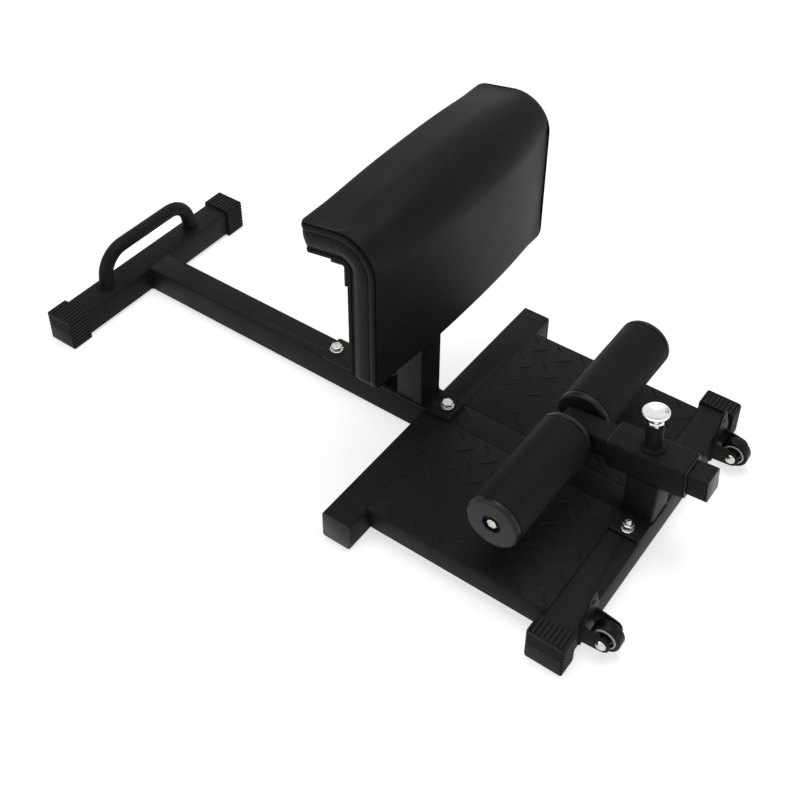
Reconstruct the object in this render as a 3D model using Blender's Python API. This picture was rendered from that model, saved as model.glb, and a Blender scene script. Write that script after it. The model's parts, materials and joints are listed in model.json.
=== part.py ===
"""Sissy squat machine: the construction as closed solids, in metres, with +Z up.

The frame stands on its four end caps. +X runs from the carry handle to the foot rollers, and the
right-hand pieces are those on the +Y side. Lengths along X are measured from the front face of the
rear crossbar; at() moves them into the part's frame, whose origin is under the middle of its box.
"""

import math

import bmesh
import bpy
from mathutils import Vector

# Clearances
GAP = 0.0003
RUNNING_GAP = 0.0004
BOLT_PLAY = 0.0005

# Square frame tube
TUBE = 0.050
TUBE_WALL = 0.002
TUBE_CORNER = 0.004

# Lengths of the frame
BEAM_LENGTH = 0.600
DECK_LENGTH = 0.300
REAR_SPAN = 0.436
INNER_SPAN = 0.562
OUTER_SPAN = 0.558

# End caps and plugs of the crossbars
CAP_WALL = 0.0042
CAP_FLOOR = 0.004
CAP_CORNER = 0.003
REAR_CAP_LENGTH = 0.040
OUTER_CAP_LENGTH = 0.032
RIB_PITCH = 0.0070
RIB_GROOVE = 0.0026
RIB_DEPTH = 0.0011
RIB_SLOPE = 0.0005
PLUG_HEAD = 0.0025
PLUG_DEPTH = 0.012
PLUG_CHAMFER = 0.001

# Tread plates
TREAD_INSET = 0.0423
TREAD_SHEET = 0.003
TREAD_FLANGE = 0.0365
TREAD_BEND = 0.004

# Carry handle
HANDLE_TUBE = 0.025
HANDLE_WALL = 0.002
HANDLE_FOOT_Y = 0.107
HANDLE_GRIP_Z = 0.1185
HANDLE_BEND = 0.046
HANDLE_LEAN = math.radians(9)

# Upright
POST_SETBACK = 0.002
BRACE_TUBE = 0.040
BRACE_STAND = 0.036
BRACE_SLOPE = math.radians(45)
BASE_PLATE_THICK = 0.005
BASE_PLATE_TOE = 0.050
BASE_PLATE_HEEL = 0.0614
BASE_BOLT_INSET_REAR = 0.013
BASE_BOLT_INSET_FRONT = 0.019

# Bolts
BASE_BOLT = 0.010
BASE_BOLT_HEAD = 0.017
BASE_BOLT_HEAD_HEIGHT = 0.0065
BASE_WASHER = 0.022
WASHER_THICK = 0.002
BASE_NUT_HEIGHT = 0.008
FLANGE_BOLT = 0.008
FLANGE_BOLT_DOME = 0.019
FLANGE_BOLT_DOME_HEIGHT = 0.0036
FLANGE_NUT = 0.013
FLANGE_NUT_HEIGHT = 0.0065
FLANGE_BOLT_TOP = 0.0775
THREAD_REACH = 0.002
BOLT_CHAMFER = 0.0008

# Calf pad: layers bent round one corner, from the post outwards
MOUNT_BEND = 0.001
MOUNT_PLATE = 0.006
MOUNT_WIDTH = 0.050
MOUNT_DROP = 0.130
MOUNT_TOP = 0.040
BOARD_THICK = 0.013
BOARD_HALF_WIDTH = 0.212
CUSHION_DEPTH = 0.034
CUSHION_CROWN = 0.010
CUSHION_HALF_WIDTH = 0.216
CUSHION_BULGE = 0.002
CUSHION_ROUND = 0.045
PAD_BOTTOM_Z = 0.279
PAD_CORNER_Z = 0.4673
PAD_TURN = math.radians(100)
PAD_TOP_LEG = 0.060
ANGLE_PLATE = 0.004
ANGLE_LEG = 0.030
ANGLE_TOP_LEG = 0.018
ANGLE_WIDTH = 0.022
PAD_BOLT = 0.006
PAD_BOLT_HEAD = 0.010
PAD_BOLT_FLANGE = 0.013
PAD_BOLT_FLANGE_THICK = 0.0012
PAD_BOLT_HEAD_HEIGHT = 0.005
PAD_BOLT_LENGTH = 0.014
PAD_BOLT_REACH = 0.0105

# Roller support
FLANGE_LENGTH = 0.126
FLANGE_THICK = 0.005
FLANGE_BOLT_Y = 0.0495
PIVOT_Z = 0.1605
SLEEVE_TILT = math.radians(4.4)
SLEEVE_LENGTH = 0.116
SLEEVE_WALL = 0.003
BUSHING_LENGTH = 0.020
BUSHING_LIP = 0.003
BUSHING_LIP_OVER = 0.0022
SLIDE_TUBE = 0.038
SLIDE_WALL = 0.0025
SLIDE_CORNER = 0.0035
SLIDE_FRONT = 0.0895
SLIDE_REAR = 0.143
SLIDE_PLUG_HEAD = 0.002
SLIDE_TRAVEL = 0.050
SLIDE_HOLE_PITCH = 0.025

# Foot rollers
AXLE_BACK = 0.125
AXLE = 0.016
ROLLER_DIAMETER = 0.084
ROLLER_INNER_Y = 0.0208
ROLLER_OUTER_Y = 0.2244
ROLLER_CAP_DISC = 0.009
ROLLER_CAP_ROUND = 0.003
ROLLER_CAP_BOSS = 0.018
ROLLER_BOSS = 0.029
ROLLER_RECESS = 0.028
ROLLER_RECESS_DEPTH = 0.006
ROLLER_SCREW = 0.008
ROLLER_SCREW_HEAD = 0.013
ROLLER_WASHER = 0.022

# Pull pin
BARREL = 0.026
BARREL_HEIGHT = 0.043
BARREL_WELD = 0.035
BARREL_WELD_HEIGHT = 0.005
PIN = 0.010
PIN_NUT = 0.021
PIN_NUT_HEIGHT = 0.0085
KNOB_STEM = 0.023
KNOB_RIM = 0.039
KNOB_HEIGHT = 0.015
KNOB_STEM_LENGTH = 0.002
KNOB_BAND = 0.002
KNOB_LIP = 0.002
KNOB_DISH = 0.003
PIN_CHAMFER = 0.001

# Transport wheels and their brackets
WHEEL_INSET = 0.074
WHEEL_REACH = 0.031
WHEEL_Z = 0.032
WHEEL_DIAMETER = 0.045
WHEEL_WIDTH = 0.018
TYRE_INNER = 0.034
TYRE_SHOULDER = 0.0025
WHEEL_RIM = 0.0035
WHEEL_WEB = 0.010
WHEEL_BOSS = 0.016
WHEEL_AXLE = 0.008
WHEEL_RIVET = 0.015
WHEEL_RIVET_HEIGHT = 0.004
BRACKET_SHEET = 0.003
BRACKET_WIDTH = 0.046
BRACKET_BOTTOM_Z = 0.012
CHEEK_OFFSET = 0.017
CHEEK_RADIUS = 0.013
CHEEK_BACK_TOP_Z = 0.050
CHEEK_BACK_LOW_Z = 0.016
EAR_TIP_Z = 0.0905
EAR_TIP_RADIUS = 0.0095
EAR_HOLE = 0.009
EAR_HOLE_Z = 0.0825
EAR_BASE_Z = 0.057

# Fineness of round shapes
CORNER_STEPS = 3
BOLT_STEPS = 12
SHAFT_STEPS = 24
ROLLER_STEPS = 32
WHEEL_STEPS = 24
HANDLE_STEPS = 16
BEND_STEPS = 6
PAD_STEPS = 9
SIDE_STEPS = 4
CROWN_STEPS = 6

# Places that follow from the sizes above
CAP_OUTER = TUBE + 2 * (GAP + CAP_WALL)
TUBE_Z = CAP_OUTER / 2
DECK_Z = TUBE_Z + TUBE / 2
REAR_BAR_X = -TUBE / 2
INNER_BAR_X = BEAM_LENGTH + TUBE / 2
DECK_START = BEAM_LENGTH + TUBE
OUTER_BAR_X = DECK_START + DECK_LENGTH + TUBE / 2
TREAD_EDGE_Y = OUTER_SPAN / 2 - TREAD_INSET
POST_FRONT = BEAM_LENGTH - POST_SETBACK
POST_BACK = POST_FRONT - TUBE
BRACE_TOE_X = POST_BACK - BRACE_STAND
BRACE_HEEL_X = BRACE_TOE_X - BRACE_TUBE / math.sin(BRACE_SLOPE)
PLATE_FRONT_X = POST_FRONT + BASE_PLATE_TOE
PLATE_REAR_X = BRACE_HEEL_X - BASE_PLATE_HEEL
PLATE_TOP_Z = DECK_Z + GAP + BASE_PLATE_THICK
FLANGE_TOP_Z = DECK_Z + GAP + FLANGE_THICK
SLIDE_NOSE = SLIDE_FRONT + GAP + SLIDE_PLUG_HEAD
MACHINE_REAR = REAR_BAR_X - CAP_OUTER / 2
MACHINE_FRONT = (OUTER_BAR_X + SLIDE_NOSE * math.cos(SLEEVE_TILT)
                 + SLIDE_TUBE / 2 * math.sin(SLEEVE_TILT))
CENTRE_X = (MACHINE_REAR + MACHINE_FRONT) / 2
PAD_CENTRE_X = POST_FRONT + GAP - MOUNT_BEND
WHEEL_Y = OUTER_SPAN / 2 - WHEEL_INSET

ALONG_X = (0, math.pi / 2, 0)
ALONG_Y = (-math.pi / 2, 0, 0)
AGAINST_Y = (math.pi / 2, 0, 0)
UPRIGHT = (0, 0, 0)
SIDES = (("left", -1), ("right", 1))


def at(x, y, z):
    """A place in the part's frame, from a length in front of the rear crossbar's front face."""
    return Vector((x - CENTRE_X, y, z))


def clear_scene():
    for old in list(bpy.data.objects):
        bpy.data.objects.remove(old, do_unlink=True)


def finish(name, colour, roughness, metallic=0.0):
    """A named material, made once."""
    found = bpy.data.materials.get(name)
    if found:
        return found
    made = bpy.data.materials.new(name)
    made.use_nodes = True
    shader = made.node_tree.nodes["Principled BSDF"]
    shader.inputs["Base Color"].default_value = (*colour, 1.0)
    shader.inputs["Roughness"].default_value = roughness
    shader.inputs["Metallic"].default_value = metallic
    made.diffuse_color = (*colour, 1.0)
    return made


def black_steel():
    return finish("black_powder_coat", (0.016, 0.016, 0.018), 0.55)


def black_plastic():
    return finish("black_plastic", (0.020, 0.020, 0.022), 0.42)


def black_rubber():
    return finish("black_rubber", (0.022, 0.022, 0.022), 0.80)


def black_board():
    return finish("black_board", (0.020, 0.019, 0.018), 0.70)


def black_vinyl():
    return finish("black_vinyl", (0.018, 0.018, 0.020), 0.38)


def black_foam():
    return finish("black_foam", (0.020, 0.020, 0.021), 0.90)


def zinc_steel():
    return finish("zinc_steel", (0.62, 0.62, 0.60), 0.35, 1.0)


def chrome():
    return finish("chrome", (0.80, 0.80, 0.80), 0.12, 1.0)


def cream_plastic():
    return finish("cream_plastic", (0.78, 0.72, 0.55), 0.45)


def add_object(name, bm, material, location, rotation=UPRIGHT, parent=None):
    """Turns a bmesh into a named object with its own origin."""
    bmesh.ops.recalc_face_normals(bm, faces=bm.faces)
    mesh = bpy.data.meshes.new(name)
    bm.to_mesh(mesh)
    bm.free()
    mesh.shade_smooth()
    mesh.set_sharp_from_angle(angle=math.radians(35))
    made = bpy.data.objects.new(name, mesh)
    bpy.context.scene.collection.objects.link(made)
    if material:
        mesh.materials.append(material)
    made.parent = parent
    made.location = location
    made.rotation_euler = rotation
    return made


def add_axis(name, location, rotation=UPRIGHT, parent=None):
    """An empty that stands on a joint's axis."""
    axis = bpy.data.objects.new(name, None)
    bpy.context.scene.collection.objects.link(axis)
    axis.empty_display_size = 0.03
    axis.parent = parent
    axis.location = location
    axis.rotation_euler = rotation
    return axis


def cut(target, name, bm, location, rotation=UPRIGHT, parent=None):
    """Cuts a shape out of an object with a Boolean."""
    cutter = add_object(name, bm, None, location, rotation, parent)
    cutter.hide_render = True
    cutter.display_type = "WIRE"
    boolean = target.modifiers.new(name, "BOOLEAN")
    boolean.operation = "DIFFERENCE"
    boolean.solver = "EXACT"
    boolean.object = cutter


def join(target, name, bm, location, rotation=UPRIGHT, parent=None):
    """Makes one body of an object and another shape with a Boolean."""
    added = add_object(name, bm, None, location, rotation, parent)
    added.hide_render = True
    added.display_type = "WIRE"
    boolean = target.modifiers.new(name, "BOOLEAN")
    boolean.operation = "UNION"
    boolean.solver = "EXACT"
    boolean.object = added


def loft(loops, ring=False):
    """Skins loops of equal count. The end loops are filled, or joined to each other in a ring."""
    bm = bmesh.new()
    rows = [[bm.verts.new(point) for point in loop] for loop in loops]
    pairs = list(zip(rows, rows[1:]))
    if ring:
        pairs.append((rows[-1], rows[0]))
    else:
        bm.faces.new(rows[0])
        bm.faces.new(rows[-1])
    for lower, upper in pairs:
        for i, start in enumerate(lower):
            j = (i + 1) % len(lower)
            bm.faces.new((start, lower[j], upper[j], upper[i]))
    return bm


def turned(profile, steps, closed=False):
    """Spins a profile of (radius, height) points round the Z axis."""
    bm = bmesh.new()
    points = [bm.verts.new((radius, 0, height)) for radius, height in profile]
    edges = [bm.edges.new(pair) for pair in zip(points, points[1:])]
    if closed:
        edges.append(bm.edges.new((points[-1], points[0])))
    bmesh.ops.spin(bm, geom=points + edges, cent=(0, 0, 0), axis=(0, 0, 1),
                   angle=math.tau, steps=steps, use_merge=True)
    bmesh.ops.remove_doubles(bm, verts=bm.verts, dist=1e-6)
    return bm


def cylinder(radius, length, steps):
    bm = bmesh.new()
    bmesh.ops.create_cone(bm, cap_ends=True, segments=steps, radius1=radius, radius2=radius,
                          depth=length)
    return bm


def extruded(outline, thickness):
    """An outline of (x, y) points given a thickness, half above and half below z = 0."""
    return loft([level(outline, -thickness / 2), level(outline, thickness / 2)])


def level(points, height):
    """Flat (x, y) points lifted to a height."""
    return [(x, y, height) for x, y in points]


def circle(radius, steps, height):
    turns = [math.tau * i / steps for i in range(steps)]
    return [(radius * math.cos(turn), radius * math.sin(turn), height) for turn in turns]


def hexagon(across_flats, steps, height):
    """A hexagon with as many points as the circles that it is skinned to."""
    points = []
    for i in range(steps):
        turn = math.tau * i / steps
        from_flat = (turn % (math.pi / 3)) - math.pi / 6
        radius = across_flats / 2 / math.cos(from_flat)
        points.append((radius * math.cos(turn), radius * math.sin(turn), height))
    return points


def rounded_rectangle(width, height, radius, steps=CORNER_STEPS):
    """Points of a rectangle with round corners, anticlockwise."""
    points = []
    for quarter, (x_side, y_side) in enumerate(((1, 1), (-1, 1), (-1, -1), (1, -1))):
        for i in range(steps + 1):
            turn = (quarter + i / steps) * math.pi / 2
            points.append((x_side * (width / 2 - radius) + radius * math.cos(turn),
                           y_side * (height / 2 - radius) + radius * math.sin(turn)))
    return points


def square_tube(side, wall, corner, length):
    """A square tube along Z, open at both ends."""
    outer = rounded_rectangle(side, side, corner)
    inner = rounded_rectangle(side - 2 * wall, side - 2 * wall, max(corner - wall, wall / 4))
    half = length / 2
    return loft([level(outer, -half), level(outer, half), level(inner, half), level(inner, -half)],
                ring=True)


def bolt(shank, reach, washer, washer_thick, head, head_height):
    """A hexagon bolt with its washer. Its seat is at z = 0, with the head above and the shank below."""
    thread = shank / 2
    top = washer_thick + head_height
    return loft([circle(thread - BOLT_CHAMFER, BOLT_STEPS, -reach),
                 circle(thread, BOLT_STEPS, -reach + BOLT_CHAMFER),
                 circle(thread, BOLT_STEPS, 0),
                 circle(washer / 2, BOLT_STEPS, 0),
                 circle(washer / 2, BOLT_STEPS, washer_thick),
                 hexagon(head, BOLT_STEPS, washer_thick),
                 hexagon(head, BOLT_STEPS, top - BOLT_CHAMFER),
                 circle(head / 2 - BOLT_CHAMFER, BOLT_STEPS, top)])


def nut(across_flats, bore, height):
    """A hexagon nut that stands on z = 0."""
    return loft([hexagon(across_flats, BOLT_STEPS, 0),
                 hexagon(across_flats, BOLT_STEPS, height),
                 circle(bore / 2, BOLT_STEPS, height),
                 circle(bore / 2, BOLT_STEPS, 0)], ring=True)


def dome(radius, height):
    """Profile of a low dome that stands on z = 0, from its top to its rim."""
    turns = [math.pi / 2 * (1 - i / CORNER_STEPS) for i in range(CORNER_STEPS + 1)]
    return [(radius * math.cos(turn), height * math.sin(turn)) for turn in turns]


def ribbed_square(side, corner):
    """A square outline whose four sides carry grooves at the rib pitch."""
    flat = side - 2 * corner
    count = int((flat - RIB_GROOVE) / RIB_PITCH) + 1
    first = -(count - 1) * RIB_PITCH / 2
    points = []
    for quarter in range(4):
        turn = quarter * math.pi / 2
        across = Vector((math.cos(turn), math.sin(turn)))
        along = Vector((-math.sin(turn), math.cos(turn)))
        points.append(across * side / 2 - along * flat / 2)
        for i in range(count):
            middle = first + i * RIB_PITCH
            mouth = RIB_GROOVE / 2
            floor = mouth - RIB_SLOPE
            for offset, depth in ((-mouth, 0), (-floor, RIB_DEPTH), (floor, RIB_DEPTH), (mouth, 0)):
                points.append(across * (side / 2 - depth) + along * (middle + offset))
        points.append(across * side / 2 + along * flat / 2)
    return [tuple(point) for point in points]


def add_cap(name, x, end_y, length):
    """A ribbed cap that slips over a crossbar's end. end_y is the outside of its floor."""
    side = 1 if end_y > 0 else -1
    outline = ribbed_square(CAP_OUTER, CAP_CORNER)
    cap = add_object(name, extruded(outline, length), black_rubber(),
                     at(x, end_y - side * length / 2, TUBE_Z), ALONG_Y)
    bore = TUBE + 2 * GAP
    depth = length - CAP_FLOOR
    cut(cap, name + "_bore", extruded(rounded_rectangle(bore, bore, TUBE_CORNER), 2 * depth),
        at(x, end_y - side * length, TUBE_Z), ALONG_Y)


def add_plug(name, x, end_y):
    """A plug pushed into the open end of the inner crossbar."""
    side = 1 if end_y > 0 else -1
    bore = TUBE - 2 * TUBE_WALL - 2 * GAP
    neck = rounded_rectangle(bore, bore, TUBE_CORNER - TUBE_WALL)
    head = rounded_rectangle(TUBE, TUBE, TUBE_CORNER)
    face = rounded_rectangle(TUBE - 2 * PLUG_CHAMFER, TUBE - 2 * PLUG_CHAMFER, TUBE_CORNER)
    bm = loft([level(neck, -PLUG_DEPTH),
               level(neck, 0),
               level(head, 0),
               level(head, PLUG_HEAD - PLUG_CHAMFER),
               level(face, PLUG_HEAD)])
    add_object(name, bm, black_plastic(), at(x, end_y - side * PLUG_HEAD, TUBE_Z),
               ALONG_Y if side > 0 else AGAINST_Y)


def crossbar(name, x, length):
    return add_object(name, square_tube(TUBE, TUBE_WALL, TUBE_CORNER, length), black_steel(),
                      at(x, 0, TUBE_Z), ALONG_Y)


def beam(name, start, end):
    """A frame tube along X between two crossbars, clear of both by the gap."""
    return add_object(name, square_tube(TUBE, TUBE_WALL, TUBE_CORNER, end - start - 2 * GAP),
                      black_steel(), at((start + end) / 2, 0, TUBE_Z), ALONG_X)


def drill(target, name, diameter, x, y, z, length):
    """A vertical hole."""
    cut(target, name, cylinder(diameter / 2, length, SHAFT_STEPS), at(x, y, z))


def handle_path():
    """Points and directions of the carry handle's centre line, in the plane of Y and Z."""
    bend_z = HANDLE_GRIP_Z - HANDLE_BEND
    bend_end_z = bend_z + HANDLE_BEND * math.sin(HANDLE_LEAN)
    leg = bend_end_z - DECK_Z - GAP
    bend_end_y = HANDLE_FOOT_Y - leg * math.tan(HANDLE_LEAN)
    bend_y = bend_end_y - HANDLE_BEND * math.cos(HANDLE_LEAN)
    down = (math.sin(HANDLE_LEAN), -math.cos(HANDLE_LEAN))
    half = [((HANDLE_FOOT_Y, DECK_Z + GAP), down)]
    for i in range(BEND_STEPS + 1):
        turn = HANDLE_LEAN + (math.pi / 2 - HANDLE_LEAN) * i / BEND_STEPS
        half.append(((bend_y + HANDLE_BEND * math.cos(turn), bend_z + HANDLE_BEND * math.sin(turn)),
                     (math.sin(turn), -math.cos(turn))))
    other = [((-y, z), (along_y, -along_z)) for (y, z), (along_y, along_z) in reversed(half)]
    return half + other


def handle_loops(radius):
    """Round sections along the handle's centre line. Its feet are cut level."""
    loops = []
    path = handle_path()
    for place, ((y, z), (along_y, along_z)) in enumerate(path):
        loop = []
        for i in range(HANDLE_STEPS):
            turn = math.tau * i / HANDLE_STEPS
            side = radius * math.cos(turn)
            point_y = y - along_z * radius * math.sin(turn)
            point_z = z + along_y * radius * math.sin(turn)
            if place in (0, len(path) - 1):
                point_y -= (point_z - z) * along_y / along_z
                point_z = z
            loop.append((side, point_y, point_z))
        loops.append(loop)
    return loops


def build_rear():
    crossbar("rear_crossbar", REAR_BAR_X, REAR_SPAN - 2 * CAP_FLOOR - 2 * GAP)
    for side, sign in SIDES:
        add_cap("rear_cap_" + side, REAR_BAR_X, sign * REAR_SPAN / 2, REAR_CAP_LENGTH)
    outer = handle_loops(HANDLE_TUBE / 2)
    inner = handle_loops(HANDLE_TUBE / 2 - HANDLE_WALL)
    add_object("carry_handle", loft(outer + inner[::-1], ring=True), black_steel(),
               at(REAR_BAR_X, 0, 0))


def add_tread_plate(name, sign):
    """A deck sheet whose outer edge is bent down."""
    inner_y = TUBE / 2 + GAP
    outer_y = TREAD_EDGE_Y
    bottom = DECK_Z - TREAD_FLANGE
    bend_y = outer_y - TREAD_BEND
    bend_z = DECK_Z - TREAD_BEND
    outside = []
    inside = []
    for i in range(CORNER_STEPS + 1):
        turn = math.pi / 2 * i / CORNER_STEPS
        outside.append((bend_y + TREAD_BEND * math.sin(turn), bend_z + TREAD_BEND * math.cos(turn)))
        inner_bend = TREAD_BEND - TREAD_SHEET
        inside.append((bend_y + inner_bend * math.sin(turn), bend_z + inner_bend * math.cos(turn)))
    outline = [(inner_y, DECK_Z - TREAD_SHEET), (inner_y, DECK_Z)]
    outline += outside
    outline += [(outer_y, bottom), (outer_y - TREAD_SHEET, bottom)]
    outline += inside[::-1]
    ends = (GAP - DECK_LENGTH / 2, DECK_LENGTH / 2 - GAP)
    bm = loft([[(x, sign * y, z) for y, z in outline] for x in ends])
    add_object(name, bm, black_steel(), at(DECK_START + DECK_LENGTH / 2, 0, 0))


def build_deck():
    crossbar("inner_crossbar", INNER_BAR_X, INNER_SPAN - 2 * PLUG_HEAD - 2 * GAP)
    crossbar("outer_crossbar", OUTER_BAR_X, OUTER_SPAN - 2 * CAP_FLOOR - 2 * GAP)
    beam("main_beam", 0, BEAM_LENGTH)
    beam("centre_tube", DECK_START, DECK_START + DECK_LENGTH)
    for side, sign in SIDES:
        add_plug("inner_plug_" + side, INNER_BAR_X, sign * INNER_SPAN / 2)
        add_cap("outer_cap_" + side, OUTER_BAR_X, sign * OUTER_SPAN / 2, OUTER_CAP_LENGTH)
        add_tread_plate("tread_plate_" + side, sign)


def add_brace():
    """The slanted stay, cut level at the base plate and plumb at the post."""
    outer = rounded_rectangle(BRACE_TUBE, BRACE_TUBE, TUBE_CORNER)
    bore = BRACE_TUBE - 2 * TUBE_WALL
    inner = rounded_rectangle(bore, bore, TUBE_CORNER - TUBE_WALL)
    rise = math.tan(BRACE_SLOPE)
    foot_z = PLATE_TOP_Z + GAP
    post_x = POST_BACK - GAP

    def line_x(across):
        """Where a line along the brace meets the base plate. Across is 0 at its under side."""
        return BRACE_TOE_X - across / math.sin(BRACE_SLOPE)

    def foot(points):
        return [at(line_x(v + BRACE_TUBE / 2), u, foot_z) for u, v in points]

    def head(points):
        return [at(post_x, u, foot_z + (post_x - line_x(v + BRACE_TUBE / 2)) * rise)
                for u, v in points]

    add_object("upright_brace", loft([foot(outer), head(outer), head(inner), foot(inner)], ring=True),
               black_steel(), (0, 0, 0))


def build_upright():
    plate_x = (PLATE_REAR_X + PLATE_FRONT_X) / 2
    plate_z = DECK_Z + GAP + BASE_PLATE_THICK / 2
    outline = rounded_rectangle(PLATE_FRONT_X - PLATE_REAR_X, TUBE, TUBE_CORNER)
    plate = add_object("upright_base_plate", extruded(outline, BASE_PLATE_THICK), black_steel(),
                       at(plate_x, 0, plate_z))
    seats = (("rear", PLATE_REAR_X + BASE_BOLT_INSET_REAR, "main_beam"),
             ("front", PLATE_FRONT_X - BASE_BOLT_INSET_FRONT, "inner_crossbar"))
    hole = BASE_BOLT + 2 * BOLT_PLAY
    nut_z = DECK_Z - TUBE_WALL - GAP - BASE_NUT_HEIGHT
    reach = PLATE_TOP_Z + GAP - nut_z + THREAD_REACH
    for place, x, carrier in seats:
        drill(plate, "base_plate_hole_" + place, hole, x, 0, plate_z, 3 * BASE_PLATE_THICK)
        drill(bpy.data.objects[carrier], carrier + "_hole", hole, x, 0, DECK_Z, TUBE / 2)
        bm = bolt(BASE_BOLT, reach, BASE_WASHER, WASHER_THICK, BASE_BOLT_HEAD,
                  BASE_BOLT_HEAD_HEIGHT)
        add_object("base_bolt_" + place, bm, zinc_steel(), at(x, 0, PLATE_TOP_Z + GAP))
        add_object("base_nut_" + place, nut(BASE_BOLT_HEAD, BASE_BOLT + 2 * GAP, BASE_NUT_HEIGHT),
                   zinc_steel(), at(x, 0, nut_z))
    add_brace()

    outer = rounded_rectangle(TUBE, TUBE, TUBE_CORNER)
    bore = TUBE - 2 * TUBE_WALL
    inner = rounded_rectangle(bore, bore, TUBE_CORNER - TUBE_WALL)
    post_x = (POST_FRONT + POST_BACK) / 2

    def foot(points):
        return [(x, y, PLATE_TOP_Z + GAP) for x, y in points]

    def head(points):
        """The slanted top follows the underside of the pad's mounting plate."""
        return [(x, y, mount_underside(post_x + x)) for x, y in points]

    add_object("upright_post", loft([foot(outer), head(outer), head(inner), foot(inner)], ring=True),
               black_steel(), at(post_x, 0, 0))


def bend_point(turn, leg, depth):
    """A point of a layer bent round the pad's corner, as a length X and a height.

    turn is 0 on the back leg and PAD_TURN on the top leg, leg is the distance past the corner
    along that leg, and depth is the distance from the corner's centre, across the layers.
    """
    out = Vector((math.cos(turn), math.sin(turn)))
    along = Vector((math.sin(turn), -math.cos(turn))) if turn == 0 else Vector((-out.y, out.x))
    point = Vector((PAD_CENTRE_X, PAD_CORNER_Z)) + out * depth + along * leg
    return point.x, point.y


def mount_underside(x):
    """The height at which the post's slanted top lies under the mounting plate."""
    slope = math.tan(PAD_TURN - math.pi / 2)
    foot_x, foot_z = bend_point(PAD_TURN, 0, MOUNT_BEND - GAP)
    return foot_z + min(x - foot_x, 0) * slope


def stations(back_leg, top_leg):
    """Turn and leg length of each section from the foot of the back leg to the rear of the top leg."""
    bends = [(PAD_TURN * i / BEND_STEPS, 0) for i in range(BEND_STEPS + 1)]
    return [(0, back_leg)] + bends + [(PAD_TURN, top_leg)]


def bent_plate(back_leg, top_leg, near, thickness, half_width, middle_y=0):
    """A plate of even thickness bent round the pad's corner."""
    loops = []
    for turn, leg in stations(back_leg, top_leg):
        near_x, near_z = bend_point(turn, leg, near)
        far_x, far_z = bend_point(turn, leg, near + thickness)
        low_y, high_y = middle_y - half_width, middle_y + half_width
        loops.append([at(near_x, low_y, near_z), at(near_x, high_y, near_z),
                      at(far_x, high_y, far_z), at(far_x, low_y, far_z)])
    return loft(loops)


def rounded(share):
    """How far a crown has risen, from 0 at its seam to 1 where it runs flat."""
    return math.sqrt(1 - (1 - share) ** 2)


def cushion_section(turn, leg, near, inset, crown):
    """The cushion's outline across its width: flat at the board, bulged at its sides, crowned."""
    seam = CUSHION_HALF_WIDTH - inset
    rows = []
    for i in range(SIDE_STEPS + 1):
        share = i / SIDE_STEPS
        bulge = CUSHION_BULGE * math.sin(math.pi * share)
        rows.append((seam + bulge, share * CUSHION_DEPTH))
    for i in range(1, CROWN_STEPS + 1):
        inward = (i / CROWN_STEPS) ** 2
        rows.append((seam - inward * CUSHION_ROUND, CUSHION_DEPTH + crown * rounded(inward)))
    outline = rows + [(-y, depth) for y, depth in reversed(rows)]
    loop = []
    for y, depth in outline:
        x, z = bend_point(turn, leg, near + depth)
        loop.append(at(x, y, z))
    return loop


def cushion_stations(back_leg, top_leg):
    """Sections of the cushion: turn, leg, how far its sides are drawn in, and its crown."""
    edge = []
    for i in range(CROWN_STEPS + 1):
        inward = (i / CROWN_STEPS) ** 2
        drawn_in = CUSHION_BULGE * (1 - rounded(inward))
        edge.append((inward * CUSHION_ROUND, drawn_in, CUSHION_CROWN * rounded(inward)))
    found = [(0, back_leg - step, drawn_in, crown) for step, drawn_in, crown in edge]
    found += [(PAD_TURN * i / PAD_STEPS, 0, 0, CUSHION_CROWN) for i in range(PAD_STEPS + 1)]
    found += [(PAD_TURN, top_leg - step, drawn_in, crown) for step, drawn_in, crown in edge[::-1]]
    return found


def build_pad():
    back_leg = PAD_CORNER_Z - PAD_BOTTOM_Z
    board_near = MOUNT_BEND + MOUNT_PLATE + GAP
    cushion_near = board_near + BOARD_THICK + GAP
    mount = bent_plate(MOUNT_DROP, MOUNT_TOP, MOUNT_BEND, MOUNT_PLATE, MOUNT_WIDTH / 2)
    add_object("pad_mount", mount, black_steel(), (0, 0, 0))
    board = add_object("pad_board", bent_plate(back_leg, PAD_TOP_LEG, board_near, BOARD_THICK,
                                               BOARD_HALF_WIDTH), black_board(), (0, 0, 0))
    loops = [cushion_section(turn, leg, cushion_near, inset, crown)
             for turn, leg, inset, crown in cushion_stations(back_leg, PAD_TOP_LEG)]
    add_object("calf_pad", loft(loops), black_vinyl(), (0, 0, 0))

    angle_near = board_near - GAP - ANGLE_PLATE
    for side, sign in SIDES:
        middle = sign * (BOARD_HALF_WIDTH - ANGLE_WIDTH / 2)
        angle = add_object("pad_angle_" + side,
                           bent_plate(ANGLE_LEG, ANGLE_TOP_LEG, angle_near, ANGLE_PLATE,
                                      ANGLE_WIDTH / 2, middle), black_steel(), (0, 0, 0))
        x, z = bend_point(PAD_TURN, PAD_BOLT_REACH, angle_near - GAP)
        seat = at(x, middle, z)
        lean = (0, math.pi / 2 - PAD_TURN + math.pi, 0)
        add_object("pad_bolt_" + side,
                   bolt(PAD_BOLT, PAD_BOLT_LENGTH, PAD_BOLT_FLANGE, PAD_BOLT_FLANGE_THICK,
                        PAD_BOLT_HEAD, PAD_BOLT_HEAD_HEIGHT), zinc_steel(), seat, lean)
        hole = PAD_BOLT + 2 * GAP
        for target in (angle, board):
            length = 2 * (PAD_BOLT_LENGTH + GAP)
            cut(target, target.name + "_hole_" + side, cylinder(hole / 2, length, BOLT_STEPS),
                seat, lean)


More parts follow.
